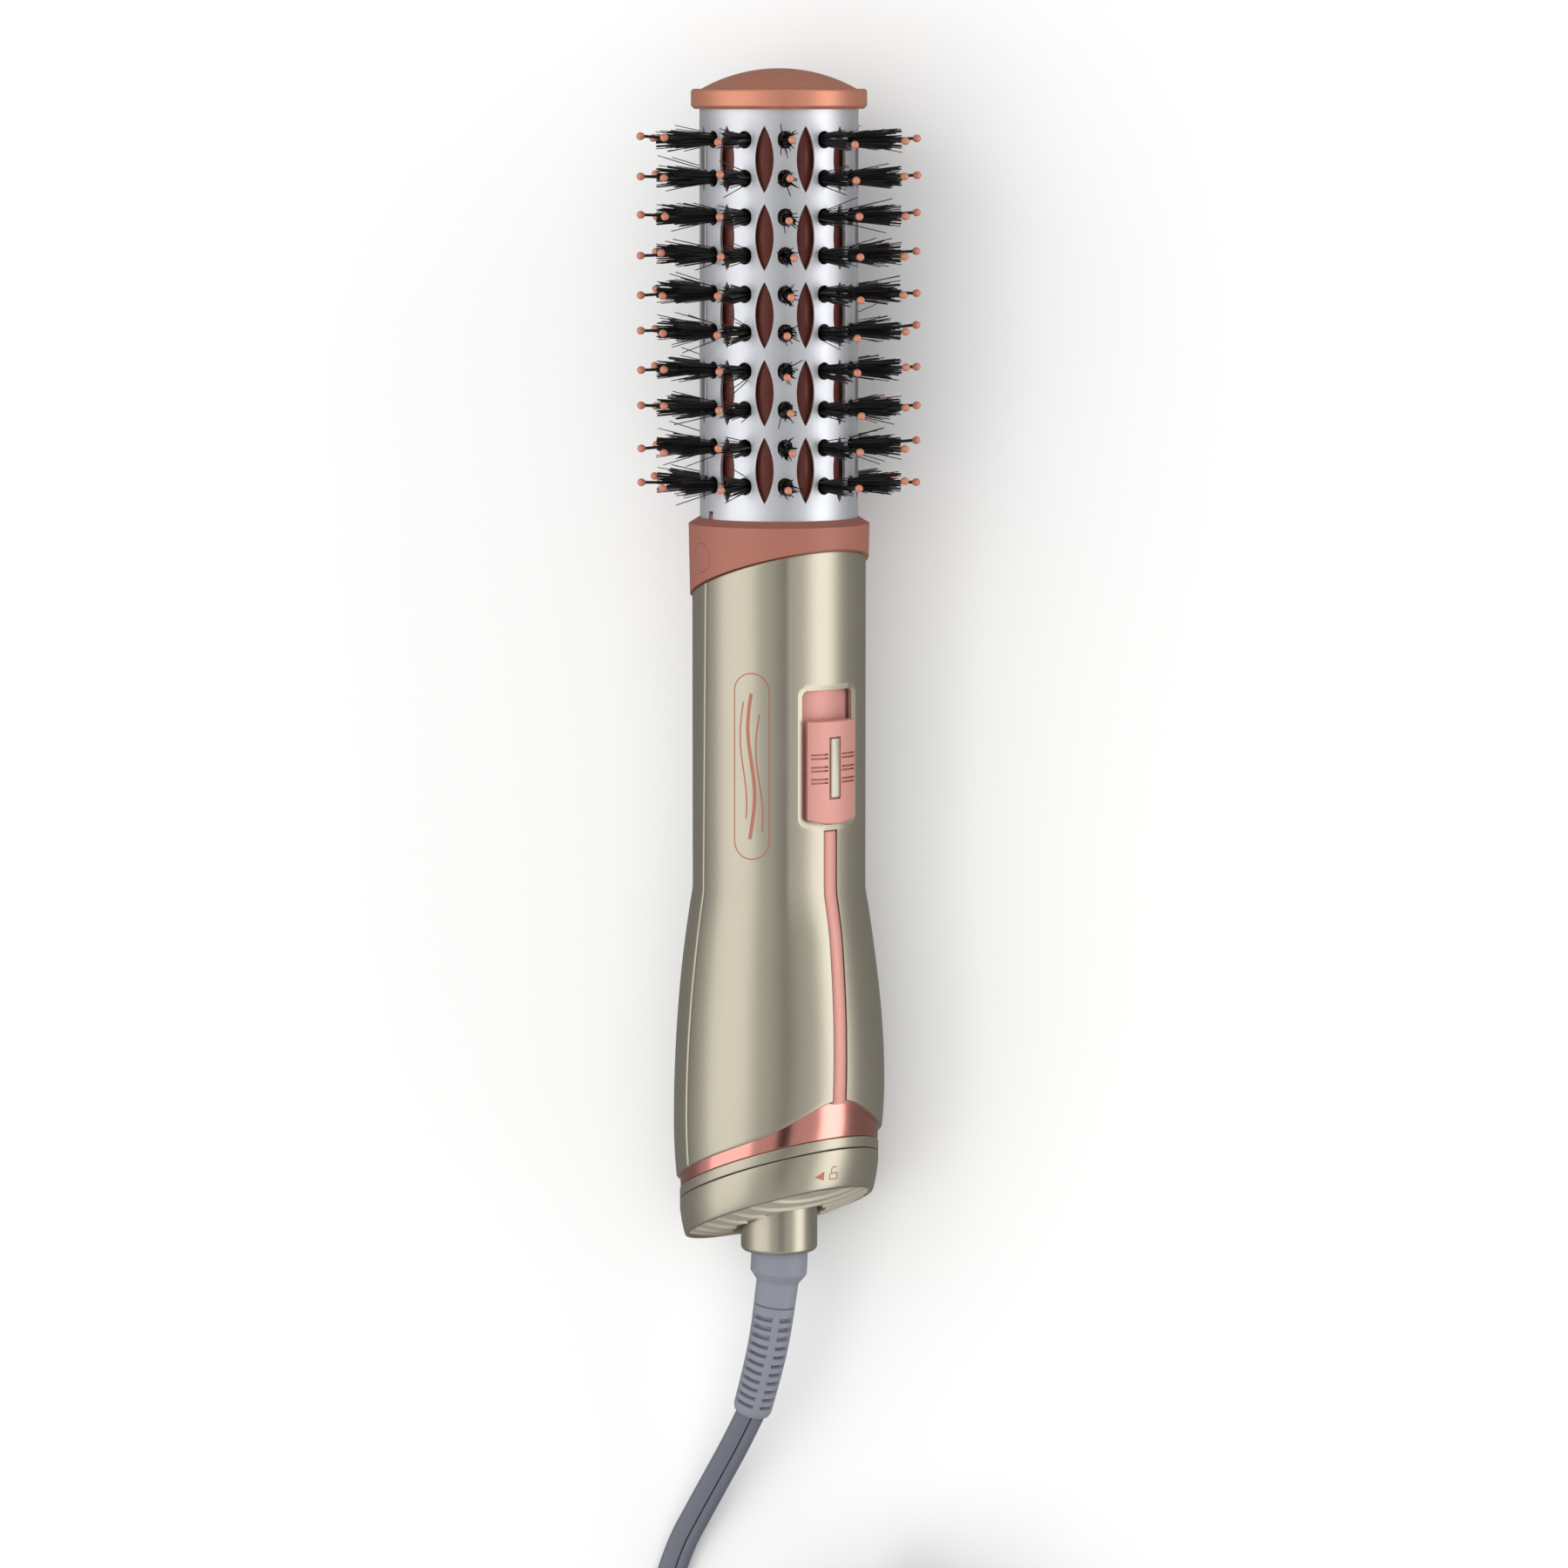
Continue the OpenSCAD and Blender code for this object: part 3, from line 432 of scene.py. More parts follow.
def cut(target, cutter):
    """Takes cutter away from target and removes it."""
    change = target.modifiers.new("cut", "BOOLEAN")
    change.operation = "DIFFERENCE"
    change.solver = "EXACT"
    change.object = cutter
    bpy.context.view_layer.update()
    mesh = bpy.data.meshes.new_from_object(target.evaluated_get(bpy.context.evaluated_depsgraph_get()))
    target.modifiers.remove(change)
    target.data = mesh
    bpy.data.objects.remove(cutter)


def ease(f):
    f = np.clip(f, 0, 1)
    return f * f * (3 - 2 * f)


# ---- cord: the route, repeated from the CAD source, in millimetres of the finished frame ----
RELIEF_ROUTE = [(0, -138, 24.2), (0, -146, 23.8), (-1, -155, 23.2), (-2.6, -165, 22), (-4.8, -174, 20.2),
                (-7.8, -184, 17.4)]
CORD_ROUTE = [(-7.8, -184, 17.4), (-12.6, -193, 13.6), (-17.8, -202, 9.6), (-23, -211, 6), (-27.8, -220, 3.4),
              (-31.6, -231, 2.1), (-34, -245, 2.9), (-34.9, -262, 3.5), (-34.9, -280, 3.5)]
TAIL_ROUTE = [(-31.3, -280, 10.5), (-31.3, -286, 11), (-28.4, -299.1, 13), (-20.2, -309.7, 15.6),
              (-10.9, -315.1, 17.9), (-0.3, -317, 20.2), (10.3, -315.1, 22.6), (19.6, -309.7, 25),
              (27.8, -299.1, 27.7), (30.7, -286, 29), (30.7, -279, 29)]
# the flat cord turns on edge between these places, counted in points of its route
EDGE_FROM = 4.5
EDGE_TO = 7.7


def along(route, t):
    """A point of a smooth curve through route, t counted in its points."""
    i = min(int(t), len(route) - 2)
    f = t - i
    a, b, c, d = (np.array(route[k], float) for k in (max(i - 1, 0), i, i + 1, min(i + 2, len(route) - 1)))
    return 0.5 * (2 * b + (c - a) * f + (2 * a - 5 * b + 4 * c - d) * f * f
                  + (3 * b - a - 3 * c + d) * f ** 3)


def coil_point(turned_by):
    """The coil's middle line after so many degrees: lanes inwards, up a layer, and lanes outwards."""
    moves = [(270, 1), (630, 1), (990, 1), (1530, -1), (1890, -1)]
    lane = sum(way * ease((turned_by - start) / 90) for start, way in moves)
    radius = COIL_R + ((COIL_LANES - 1) / 2 - lane) * CORD_T
    height = CORD_W / 2 + CORD_W * ease((turned_by - 1260) / 90)
    azimuth = math.radians(180 + turned_by)
    return np.array([COIL_AT[0] + radius * math.cos(azimuth), COIL_AT[1] + radius * math.sin(azimuth),
                     height])


def cord_line():
    """Points down the middle of the whole cord, and how far the flat cord is turned on edge at each."""
    line, edge = [], []
    for t in np.arange(1, len(RELIEF_ROUTE) - 1, 0.25):
        line.append(along(RELIEF_ROUTE, t))
        edge.append(0)
    for t in np.arange(0, len(CORD_ROUTE) - 1, 0.2):
        line.append(along(CORD_ROUTE, t))
        edge.append(90 * ease((t - EDGE_FROM) / (EDGE_TO - EDGE_FROM)))
    for turned_by in range(0, 2160, 5):
        line.append(coil_point(turned_by))
        edge.append(90)
    for t in np.arange(0, len(TAIL_ROUTE) - 0.9, 0.25):
        line.append(along(TAIL_ROUTE, min(t, len(TAIL_ROUTE) - 1)))
        edge.append(90)
    line, edge = np.array(line), np.radians(edge)
    half_up = CORD_W / 2 * np.sin(edge) + (CORD_T / 2 - 0.2) * np.cos(edge) + 0.2
    line[:, 2] = np.maximum(line[:, 2], half_up)
    return line, edge


def sweep(line, section, turn=None):
    """Rings of the section's points (across, up) along the line, turned about it by turn."""
    ahead = np.gradient(line, axis=0)
    ahead /= np.linalg.norm(ahead, axis=1)[:, None]
    level = np.cross(ahead, (0, 0, 1))
    level /= np.linalg.norm(level, axis=1)[:, None]
    rise = np.cross(level, ahead)
    turn = np.zeros(len(line)) if turn is None else turn
    side = level * np.cos(turn)[:, None] + rise * np.sin(turn)[:, None]
    up = rise * np.cos(turn)[:, None] - level * np.sin(turn)[:, None]
    section = np.broadcast_to(section, (len(line),) + np.shape(section)[-2:])
    return line[:, None] + side[:, None] * section[..., :1] + up[:, None] * section[..., 1:]


def tube(rings):
    """Points and faces of a tube through rings, closed at both ends."""
    rings = np.asarray(rings)
    count, width = rings.shape[:2]
    faces = grid(count, width)
    faces += [tuple(range(width - 1, -1, -1)), tuple((count - 1) * width + k for k in range(width))]
    return rings.reshape(-1, 3), faces


def flat_cord():
    """Two cores side by side, one wider than the other, with a groove between them on both faces."""
    w, t, groove, deep = CORD_W / 2, CORD_T / 2, 0.75, 0.85
    wide = softened([(-w, -t, 1.5), (groove, -t, 0.25), (groove + 0.02, -t + deep, 0),
                     (groove + 0.35, -t, 0.25), (w, -t, 1.6), (w, t, 1.6), (groove + 0.35, t, 0.25),
                     (groove + 0.02, t - deep, 0), (groove, t, 0.25), (-w, t, 1.5)], steps=4)
    line, edge = cord_line()
    points, faces = tube(sweep(line, np.array(wide) * (-1, 1), edge))
    made = piece("power_cord_flat", points, faces, "handle", "cord_rubber", "cord", lay_down=False, sharp=50)
    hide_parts("power_cord", "cord_coil")
    return made, line * MM


def relief_boot():
    """The grey bend relief: a stepped head, a shallow line, then eleven rings of four slots."""
    head_r, neck_r, end_r = 6.9, 5.15, 4.75
    step = 0.25
    first_slot, pitch, slots, half, deep = 21.4, 2.26, 11, 0.42, 1.25
    rough = np.array([along(RELIEF_ROUTE, t) for t in np.linspace(0, len(RELIEF_ROUTE) - 1, 400)])
    run = np.concatenate([[0], np.cumsum(np.linalg.norm(np.diff(rough, axis=0), axis=1))])
    at = np.arange(0, run[-1], step)
    line = np.stack([np.interp(at, run, rough[:, k]) for k in range(3)], axis=1)
    radius = np.interp(at, [0, 10.2, 10.6, 12.6, run[-1] - 1.6, run[-1] - 0.5, run[-1]],
                       [head_r, head_r, head_r - 0.25, neck_r, end_r, end_r - 0.35, end_r - 1.1])
    around = np.arange(0, 360, 5)
    slotted = (((around > 31) & (around < 97)) | ((around > 121) & (around < 169))
               | ((around > 211) & (around < 277)) | ((around > 301) & (around < 349)))
    line_slot = (around > 25) & (around < 175)
    depth = np.zeros((len(at), len(around)))
    for k in range(slots):
        here = np.abs(at - first_slot - k * pitch) < half
        depth[np.ix_(here, slotted)] = deep
    depth[np.ix_(np.abs(at - first_slot + 1.3 * pitch) < 0.2, line_slot)] = 0.5
    r = radius[:, None] - depth
    angle = np.radians(around)
    section = np.stack([r * np.cos(angle), r * np.sin(angle) * 0.94], axis=-1)
    points, faces = tube(sweep(line, section))
    made = piece("strain_relief_boot", points, faces, "handle", "relief_rubber", "relief", lay_down=False,
                 sharp=30)
    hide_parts("strain_relief")
    return made


def tie_band():
    """A strap round the coil, ribbed on the outside, with a small clasp."""
    half, thick, long = COIL_LANES * CORD_T / 2, 0.7, 8
    low, high = thick / 2, 2 * CORD_W + thick / 2
    loop = np.array(softened([(-half - low, low, 1.5), (half + low, low, 1.5),
                              (half + low, CORD_W + 0.4, 1.5), (half - CORD_T + thick, high, 1.5),
                              (-half - low, high, 1.5)], steps=5))
    last, after = np.roll(loop, 1, axis=0), np.roll(loop, -1, axis=0)
    out = np.stack([(after - last)[:, 1], -(after - last)[:, 0]], axis=1)
    out /= np.linalg.norm(out, axis=1)[:, None]
    rings = []
    end = long / 2
    for y, lift in ((-end, -0.15), (0.3 - end, 0.3), (-2.2, 0.3), (-2, 0.12), (2, 0.12), (2.2, 0.3),
                    (end - 0.3, 0.3), (end, -0.15), (end, -0.3), (-end, -0.3)):
        ring = loop + out * lift
        rings.append(np.stack([COIL_AT[0] + COIL_R + ring[:, 0], np.full(len(ring), COIL_AT[1] + y),
                               ring[:, 1]], axis=1))
    made = piece("cord_tie_band", rings, ring_grid(len(rings), len(loop)), "handle", "tie_black", "tie",
                 lay_down=False)
    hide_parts("cord_tie")
    return made


cord, cord_path = flat_cord()
boot = relief_boot()
tie = tie_band()


# ---- brush head ----
def tip_cap():
    dome_r, dome_base, top = 37.9, 18.6, 107.4
    spread = math.asin(dome_base / dome_r)
    dome = [(dome_r * math.sin(spread * k / 12), top - dome_r * (1 - math.cos(spread * k / 12)), 0)
            for k in range(13)]
    profile = softened(dome + [(18.75, 102.5, 0), (21.1, 102.5, 0.75), (21.1, 98.5, 0.4), (20.3, 97.72, 0.25),
                               (15.5, 97.72, 0), (15.5, 96.5, 0), (15.5, 94.6, 0), (0, 94.6, 0)])
    made = piece("tip_cap_dome", *turned(profile), "head", "copper_moulding", "copper_cap", sharp=30)
    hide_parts("tip_cap")


def core():
    """The brown core: a tube with a rounded ridge behind each row of air slots."""
    inner, base, ridge, half = 12.2, 13.6, 17.6, 6.9
    low, high = 2.2, 94
    section = []
    for column in range(COLUMNS):
        middle = FIRST_COLUMN + 15 + column * 30
        section += [(base, middle - 15), (base, middle - half - 0.2)]
        section += [(ridge - 0.35 * (d / half) ** 2, middle + d) for d in np.linspace(-half, half, 11)]
        section += [(base, middle + half + 0.2)]
    r, psi = np.array(section).T
    rings = np.array([spun(r * 0 + inner, psi, low), spun(r - 0.4, psi, low), spun(r, psi, low + 0.4),
                      spun(r, psi, high - 0.4), spun(r - 0.4, psi, high), spun(r * 0 + inner, psi, high)])
    made = piece("bristle_core_ridged", rings, ring_grid(*rings.shape[:2]), "head", "core_brown",
                 "core_brown", sharp=30)
    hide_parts("bristle_core")


def tuft_places():
    """Angle and height of every tuft."""
    return [(FIRST_COLUMN + column * 360 / COLUMNS, ROW_LOW + row * ROW_PITCH)
            for column in range(COLUMNS) for row in range(ROWS)]


def place_near(psi, z, out, across, up):
    """Upright points from how far out and across they are at angle psi, and how far above height z."""
    angle = math.radians(psi)
    outward = np.array([math.sin(angle), -math.cos(angle), 0])
    sideways = np.array([math.cos(angle), math.sin(angle), 0])
    return (np.multiply.outer(out, outward) + np.multiply.outer(across, sideways)
            + np.multiply.outer(up, (0, 0, 1)) + (0, 0, z))


def tufts():
    """Black nylon bristles, each a thin three-sided tapering rod, splayed from the tuft's root."""
    per_tuft, thick, strays = 56, 0.17, 0.08
    stations = np.array([0, 0.45, 1.0])
    points, faces = [], []
    for psi, z in tuft_places():
        root = np.sqrt(DRAWS.random(per_tuft)) * 0.85
        way = DRAWS.random(per_tuft) * 2 * math.pi
        stray = DRAWS.random(per_tuft) < strays
        splay = root * 0.105 + DRAWS.normal(0, 0.016, per_tuft)
        splay = np.where(stray, splay + DRAWS.random(per_tuft) * 0.2, splay)
        reach = BRISTLE_REACH - TUFT_ROOT - DRAWS.random(per_tuft) ** 3 * 4.5
        curl = DRAWS.normal(0, 0.25, per_tuft)
        for k in range(per_tuft):
            far = stations * reach[k]
            off = root[k] + splay[k] * far
            across = off * math.cos(way[k]) + curl[k] * stations ** 2 * math.sin(way[k])
            up = off * math.sin(way[k]) * 1.15 - curl[k] * stations ** 2 * math.cos(way[k])
            first = len(points) * 3
            for s in range(3):
                size = thick * (1 - 0.25 * stations[s])
                corner = np.radians([0, 120, 240]) + way[k]
                points.append(place_near(psi, z, np.full(3, TUFT_ROOT + far[s]),
                                         across[s] + size * np.cos(corner), up[s] + size * np.sin(corner)))
            faces += grid(3, 3, first=first)
            faces += [(first + 2, first + 1, first), (first + 6, first + 7, first + 8)]
    made = piece("bristle_filaments", np.concatenate(points), faces, "head", "bristle_nylon", "bristle",
                 sharp=60)
    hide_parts("bristle_tufts")


def pins():
    """Black pins with a dipped ball on the end, none quite straight."""
    sides, stem_r, stem = 8, 0.36, PIN_REACH - 1.7 * BALL_R - TUFT_ROOT
    corner = np.linspace(0, 2 * math.pi, sides, endpoint=False)
    clock = np.linspace(0, 2 * math.pi, 12, endpoint=False)
    rods, balls = [], []
    for psi, z in tuft_places():
        underneath = abs((psi + REST_ROLL + 180) % 360 - 180) > 160
        lean = DRAWS.normal(0, 0.55, 2).clip(-1.1, 1.1)
        across = 0 if underneath else lean[0]
        rods.append(tube([place_near(psi, z, np.full(sides, TUFT_ROOT + share * stem),
                                     across * share ** 2 + stem_r * np.cos(corner),
                                     lean[1] * share ** 2 + stem_r * np.sin(corner))
                          for share in (0, 0.4, 0.75, 1)]))
        shell = []
        for angle in np.linspace(0.04, 0.985, 8) * math.pi:
            size = BALL_R * math.sin(angle)
            away = PIN_REACH - BALL_R - BALL_R * math.cos(angle) * (1.18 if angle < 1.2 else 1)
            shell.append(place_near(psi, z, np.full(len(clock), away), across + size * np.cos(clock),
                                    lean[1] + size * np.sin(clock)))
        balls.append(tube(shell))
    made = piece("pin_rods", *joined(rods), "head", "bristle_nylon", "bristle", sharp=60)
    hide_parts("pin_stems")
    made = piece("pin_ball_tips", *joined(balls), "head", "ball_copper", "ball", sharp=80)
    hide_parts("pin_balls")


# ---- handle casing ----
def cosine(psi):
    return np.cos(np.radians(psi))


def casing_r(z, psi):
    """Radius of the casing: straight, then swelling to the slanted foot, with a flatter panel in front."""
    slant = ease((-100 - z) / 58) * TAIL_SLOPE * 24.5 * cosine(psi)
    low = z - slant
    swell = np.clip((BULGE_Z - low) / (BULGE_Z - WIDEST_Z), 0, 1) ** 0.93
    r = GRIP_R + (BULB_R - GRIP_R) * np.sin(swell * math.pi / 2)
    r = r - 0.7 * (np.clip(WIDEST_Z - low, 0, None) / 13.5) ** 2
    inside = np.abs(psi) < CREASE
    flat = np.where(inside, 1 - cosine(CREASE) / np.where(inside, cosine(psi), 1), 0)
    return r * (1 - 0.25 * flat * (1 - ease((-86 - z) / 16)))


def casing_top(psi):
    return CASING_TOP + COLLAR_SLOPE * GRIP_R * cosine(psi)


def casing_foot(psi):
    """Height of the casing's lower edge: a slanted plane that rises in a hump over the accent band."""
    return CASING_FOOT + TAIL_SLOPE * 25 * cosine(psi) + 5.6 * np.exp(-((psi + 3) / 20) ** 2 / 2)


def seam_psi(z):
    """Angle of the seam between the casing's halves."""
    behind = SEAM_Y - (z - SEAM_Z) * SEAM_LEAN
    return 90 + np.degrees(np.arcsin(behind / casing_r(z, 95.0 + 0 * z)))


def edge_drop(distance, radius):
    """How far a rounded edge has fallen at a distance from it."""
    d = np.clip(distance, 0, radius)
    return radius - np.sqrt(radius ** 2 - (radius - d) ** 2)


EDGE_STEPS = [0, 0.06, 0.16, 0.3, 0.5]
SEAM_GAP = 0.07


def casing_half(front):
    """Closed wall of half the casing, with rounded edges all round."""
    rows, wall = 170, 1.7
    if front:
        outer = np.linspace(0, 1, 42)[1:]
        spots = [("side", -f) for f in outer[::-1]]
        spots += [("flat", p) for p in np.linspace(-CREASE, CREASE, 49)]
        spots += [("side", f) for f in outer]
    else:
        spots = [("back", f) for f in np.linspace(0, 1, 96)]
    near = len(EDGE_STEPS) - 1
    columns = len(spots) + 2 * near
    share = np.linspace(0, 1, rows)
    z = np.zeros((rows + 2 * near, columns))
    psi = np.zeros_like(z) + (np.linspace(-95, 95, columns) if front else np.linspace(95, 265, columns))
    # heights and angles depend on each other, and settle in three rounds
    for _ in range(3):
        top, foot = casing_top(psi), casing_foot(np.where(psi > 180, psi - 360, psi))
        heads = np.array(EDGE_STEPS[:-1])[:, None]
        z[:near] = top[:near] - heads
        z[-near:] = foot[-near:] + heads[::-1]
        middle = slice(near, near + rows)
        high, low = top[middle] - EDGE_STEPS[-1], foot[middle] + EDGE_STEPS[-1]
        z[middle] = high + (low - high) * share[:, None]
        seam = seam_psi(z)[:, 0]
        gap = np.degrees(SEAM_GAP / GRIP_R)
        reach = seam - gap
        for k, (kind, value) in enumerate(spots):
            column = near + k
            inset = np.degrees(EDGE_STEPS[-1] / GRIP_R)
            if kind == "flat":
                psi[:, column] = value
            elif kind == "side":
                psi[:, column] = np.sign(value) * (CREASE + (reach - inset - CREASE) * abs(value))
            else:
                start, end = seam + gap + inset, 360 - seam - gap - inset
                psi[:, column] = start + (end - start) * value
        for k, inset in enumerate(EDGE_STEPS[:-1]):
            step = np.degrees(inset / GRIP_R)
            psi[:, k] = -reach + step if front else seam + gap + step
            psi[:, -1 - k] = reach - step if front else 360 - seam - gap - step
    round_psi = np.where(psi > 180, psi - 360, psi)
    r = casing_r(z, round_psi)
    from_seam = np.minimum(np.arange(columns), np.arange(columns)[::-1])
    seam_steps = np.array(EDGE_STEPS)[np.minimum(from_seam, near)]
    from_end = np.minimum(casing_top(psi) - z, z - casing_foot(round_psi))
    outside = r - edge_drop(from_end, 0.5) - edge_drop(seam_steps, 0.5)
    skin, lining = spun(outside, psi, z), spun(np.minimum(r - wall, outside - 0.4), psi, z)
    count = z.shape[0]
    loops = np.concatenate([skin, lining[::-1]], axis=0)
    points = loops.transpose(1, 0, 2).reshape(-1, 3)
    faces = grid(columns, 2 * count)
    for first in (0, (columns - 1) * 2 * count):
        faces += [(first + i, first + i + 1, first + 2 * count - 2 - i, first + 2 * count - 1 - i)
                  for i in range(count - 1)]
    return points, faces


def cutting_shape(name, points, faces):
    """A closed mesh that only serves to cut the casing."""
    return piece(name, points, faces, None, None, "champagne")


def window_outline(grow=0.0):
    """The switch window, or the same outline that much larger: straight above and bowed below."""
    x, high, foot = WINDOW_X + grow, WINDOW_TOP + grow, WINDOW_FOOT - grow
    corner, lift = 1.6 + min(grow, 1.4), 1.3
    below = [(s * (x - 4), foot + lift * s * s * 0.5, 0) for s in np.linspace(1, -1, 9)]
    return softened([(-x, foot + lift, corner), (-x, high, corner), (x, high, corner),
                     (x, foot + lift, corner)] + below)


def front_at(x, z, lift):
    """Upright point in front of the casing's panel, lift above it; the strip's line leans a little."""
    x = x + STRIP_LEAN * float(ease((BULGE_Z - z) / 55))
    psi = 0.0
    for _ in range(4):
        r = float(casing_r(z, psi))
        psi = math.degrees(math.asin(max(-1, min(1, x / r))))
    r = float(casing_r(z, psi)) + lift
    return (r * math.sin(math.radians(psi)), -r * math.cos(math.radians(psi)), z)


def window_hole():
    """A straight plug as large as the window."""
    return cutting_shape("window_hole", *tube([[(x, y, z) for x, z in window_outline()] for y in (-30, -15)]))


def window_bevel():
    """A ring that follows the panel and bevels the casing round the window."""
    rings = [[front_at(x, z, lift) for x, z in window_outline(grow)] for grow, lift in
             ((1.35, 1.5), (1.35, 0.02), (0.25, -0.42), (-0.6, -0.42), (-0.6, 1.5))]
    return cutting_shape("window_bevel", rings, ring_grid(len(rings), len(rings[0])))


def groove_cutter():
    """The seat of the accent strip."""
    half = STRIP_X + 0.2
    rings = [[front_at(x, z, lift) for x, lift in ((-half, 1.5), (-half, -0.9), (half, -0.9), (half, 1.5))]
             for z in np.arange(STRIP_TOP + 0.2, -146, -1.5)]
    return cutting_shape("groove_cutter", *tube(rings))


def screw_wells():
    """Cutter for the four screw holes in the rear half, and the walls of their wells."""
    bore, outer, floor_y, rim_y, skin_r = 2.5, 2.85, 8.6, 13.9, 20.3
    around = np.linspace(0, 2 * math.pi, 32, endpoint=False)
    holes, walls = [], []
    for x in (-14.8, 14.8):
        for z in (-34, -84):
            holes.append(tube([[(x + bore * math.cos(a), y, z + bore * math.sin(a)) for a in around]
                               for y in (9.9, 24)]))
            ring = [(x + r * math.cos(a), min(y, math.sqrt(skin_r ** 2 - (x + r * math.cos(a)) ** 2)),
                     z + r * math.sin(a)) for r, y in
                    ((bore, rim_y), (bore, floor_y), (outer, floor_y), (outer, rim_y)) for a in around]
            walls.append((ring, ring_grid(4, len(around))))
    return holes, walls


def casing_skin(name, front, node, cutters):
    """One half of the casing with its cuts, in place of a CAD node."""
    skin = piece(name, *casing_half(front), None, None, "champagne")
    for cutter in cutters:
        cut(skin, cutter)
    smooth(skin.data, 24)
    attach(skin, "handle")
    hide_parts(node)


def casing():
    casing_skin("handle_front_skin", True, "handle_front_shell",
                (make() for make in (window_hole, window_bevel, groove_cutter)))
    holes, walls = screw_wells()
    casing_skin("handle_rear_skin", False, "handle_rear_shell",
                (cutting_shape("hole_cutter", *hole) for hole in holes))
    piece("screw_well_walls", *joined(walls), "handle", "champagne_casing", "champagne")


def accent_strip():
    """Rose strip down the front with rounded shoulders."""
    across = [(-1, -1.6), (-1, -0.35), (-0.9, -0.08), (-0.72, 0.06), (-0.4, 0.14), (0, 0.17), (0.4, 0.14),
              (0.72, 0.06), (0.9, -0.08), (1, -0.35), (1, -1.6)]
    foot = float(casing_foot(np.array(0.0))) - 0.6
    rings = []
    for z in [STRIP_TOP, STRIP_TOP - 0.12, STRIP_TOP - 0.35] + list(np.linspace(STRIP_TOP - 0.8, foot, 60)):
        droop = float(edge_drop(np.array(STRIP_TOP - z), 0.4))
        rings.append([front_at(x * STRIP_X, z, lift - droop * (lift > -1)) for x, lift in across])
    made = piece("accent_strip_bar", *tube(rings), "handle", "rose_accent", "rose", sharp=50)
    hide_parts("accent_strip")


def accent_band():
    """Polished band under the casing's foot, slightly crowned."""
    low = BAND_MID + 0.03
    profile = softened([(22.6, low, 0), (23.95, low, 0.25), (24.08, low + 3.5, 0), (24.0, low + 8, 0),
                        (23.6, low + 13.5, 0.3), (22.6, low + 13.5, 0)])
    made = piece("accent_band_polished", *turned(profile, TAIL_SLOPE, 192), "handle", "rose_chrome",
                 "rose_chrome")
    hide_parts("accent_band")


# ---- tail ----
def tail_ring():
    """The fixed ring between band and cap."""
    top, low, high = BAND_MID - 0.03, JOINT_MID + 0.8, JOINT_MID + 9
    profile = softened([(22.3, JOINT_MID, 0), (TAIL_R, JOINT_MID + 0.06, 0.35), (TAIL_R, top, 0.4),
                        (19.6, top, 0), (19.6, JOINT_MID + 1, 0)])
    made = piece("tail_ring_band", *turned(profile, TAIL_SLOPE, 192), "handle", "champagne_casing",
                 "champagne")
    spokes = []
    across, up = np.array([-1.5, 1.5, 1.5, -1.5]), np.array([1.0, 1.0, 2.6, 2.6])
    for psi in (0, 120, 240):
        slope = TAIL_SLOPE * math.cos(math.radians(psi))
        spokes.append(tube([place_near(psi, JOINT_MID, np.full(4, out), across, up + slope * out)
                            for out in (NECK_R + 0.3, 21.5)]))
    near, far = NECK_R + 0.05, NECK_R + 1.9
    spokes.append(turned([(near, low), (far, low), (far, high), (near, high)], 0.0, 72))
    piece("tail_ring_spokes", *joined(spokes), "handle", "champagne_casing", "champagne")
    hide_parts("tail_ring")


LOUVRE_FAR = 54
LOUVRE_PSI = -12
FLOOR_R = 21.9
CAP_SIDE = [(JOINT_MID - 0.14, 24.17), (-163, 24.12), (-166, 23.72), (-168.5, 23.2), (RIM_MID + 0.05, 22.85)]


def floor_at(x, y, sink):
    """Upright point of the cap's bulging floor, sink above its outside."""
    r = np.hypot(x, y)
    bulge = 2.0 * (1 - (np.clip(r - 11, 0, None) / (FLOOR_R - 11)) ** 1.6)
    return np.stack([x, y, RIM_MID - bulge + sink - TAIL_SLOPE * y], axis=-1)


def louvres():
    """Curved blades across the floor, stepped like terraces, round the hole for the neck."""
    pitch, gap, wall, hole = 4.6, 0.6, 1.1, 11.3
    blades = []
    towards = math.radians(LOUVRE_PSI)
    for k in range(8):
        start = 36.8 + pitch * (k - 1)
        rho = np.linspace(start + gap / 2, start + pitch - gap / 2, 9)
        rho = rho[(rho > LOUVRE_FAR - FLOOR_R + 0.1) & (rho < LOUVRE_FAR + FLOOR_R - 0.1)]
        if len(rho) < 3:
            continue
        reach, free = (np.arccos(np.clip((rho ** 2 + LOUVRE_FAR ** 2 - r ** 2) / (2 * rho * LOUVRE_FAR),
                                         -1, 1)) for r in (FLOOR_R, hole))
        step = 0.6 * (rho - rho[0]) / pitch
        for side in (-1, 1):
            rings = []
            for share in np.linspace(0, 1, 33):
                angle = side * (free + (reach - free) * share)
                out = LOUVRE_FAR - rho * np.cos(angle)
                along_arc = rho * np.sin(angle)
                x = out * math.sin(towards) + along_arc * math.cos(towards)
                y = -out * math.cos(towards) + along_arc * math.sin(towards)
                low, high = floor_at(x, y, step), floor_at(x, y, step + wall)
                rings.append(np.concatenate([low, high[::-1]]))
            blades.append(tube(rings))
    return joined(blades)


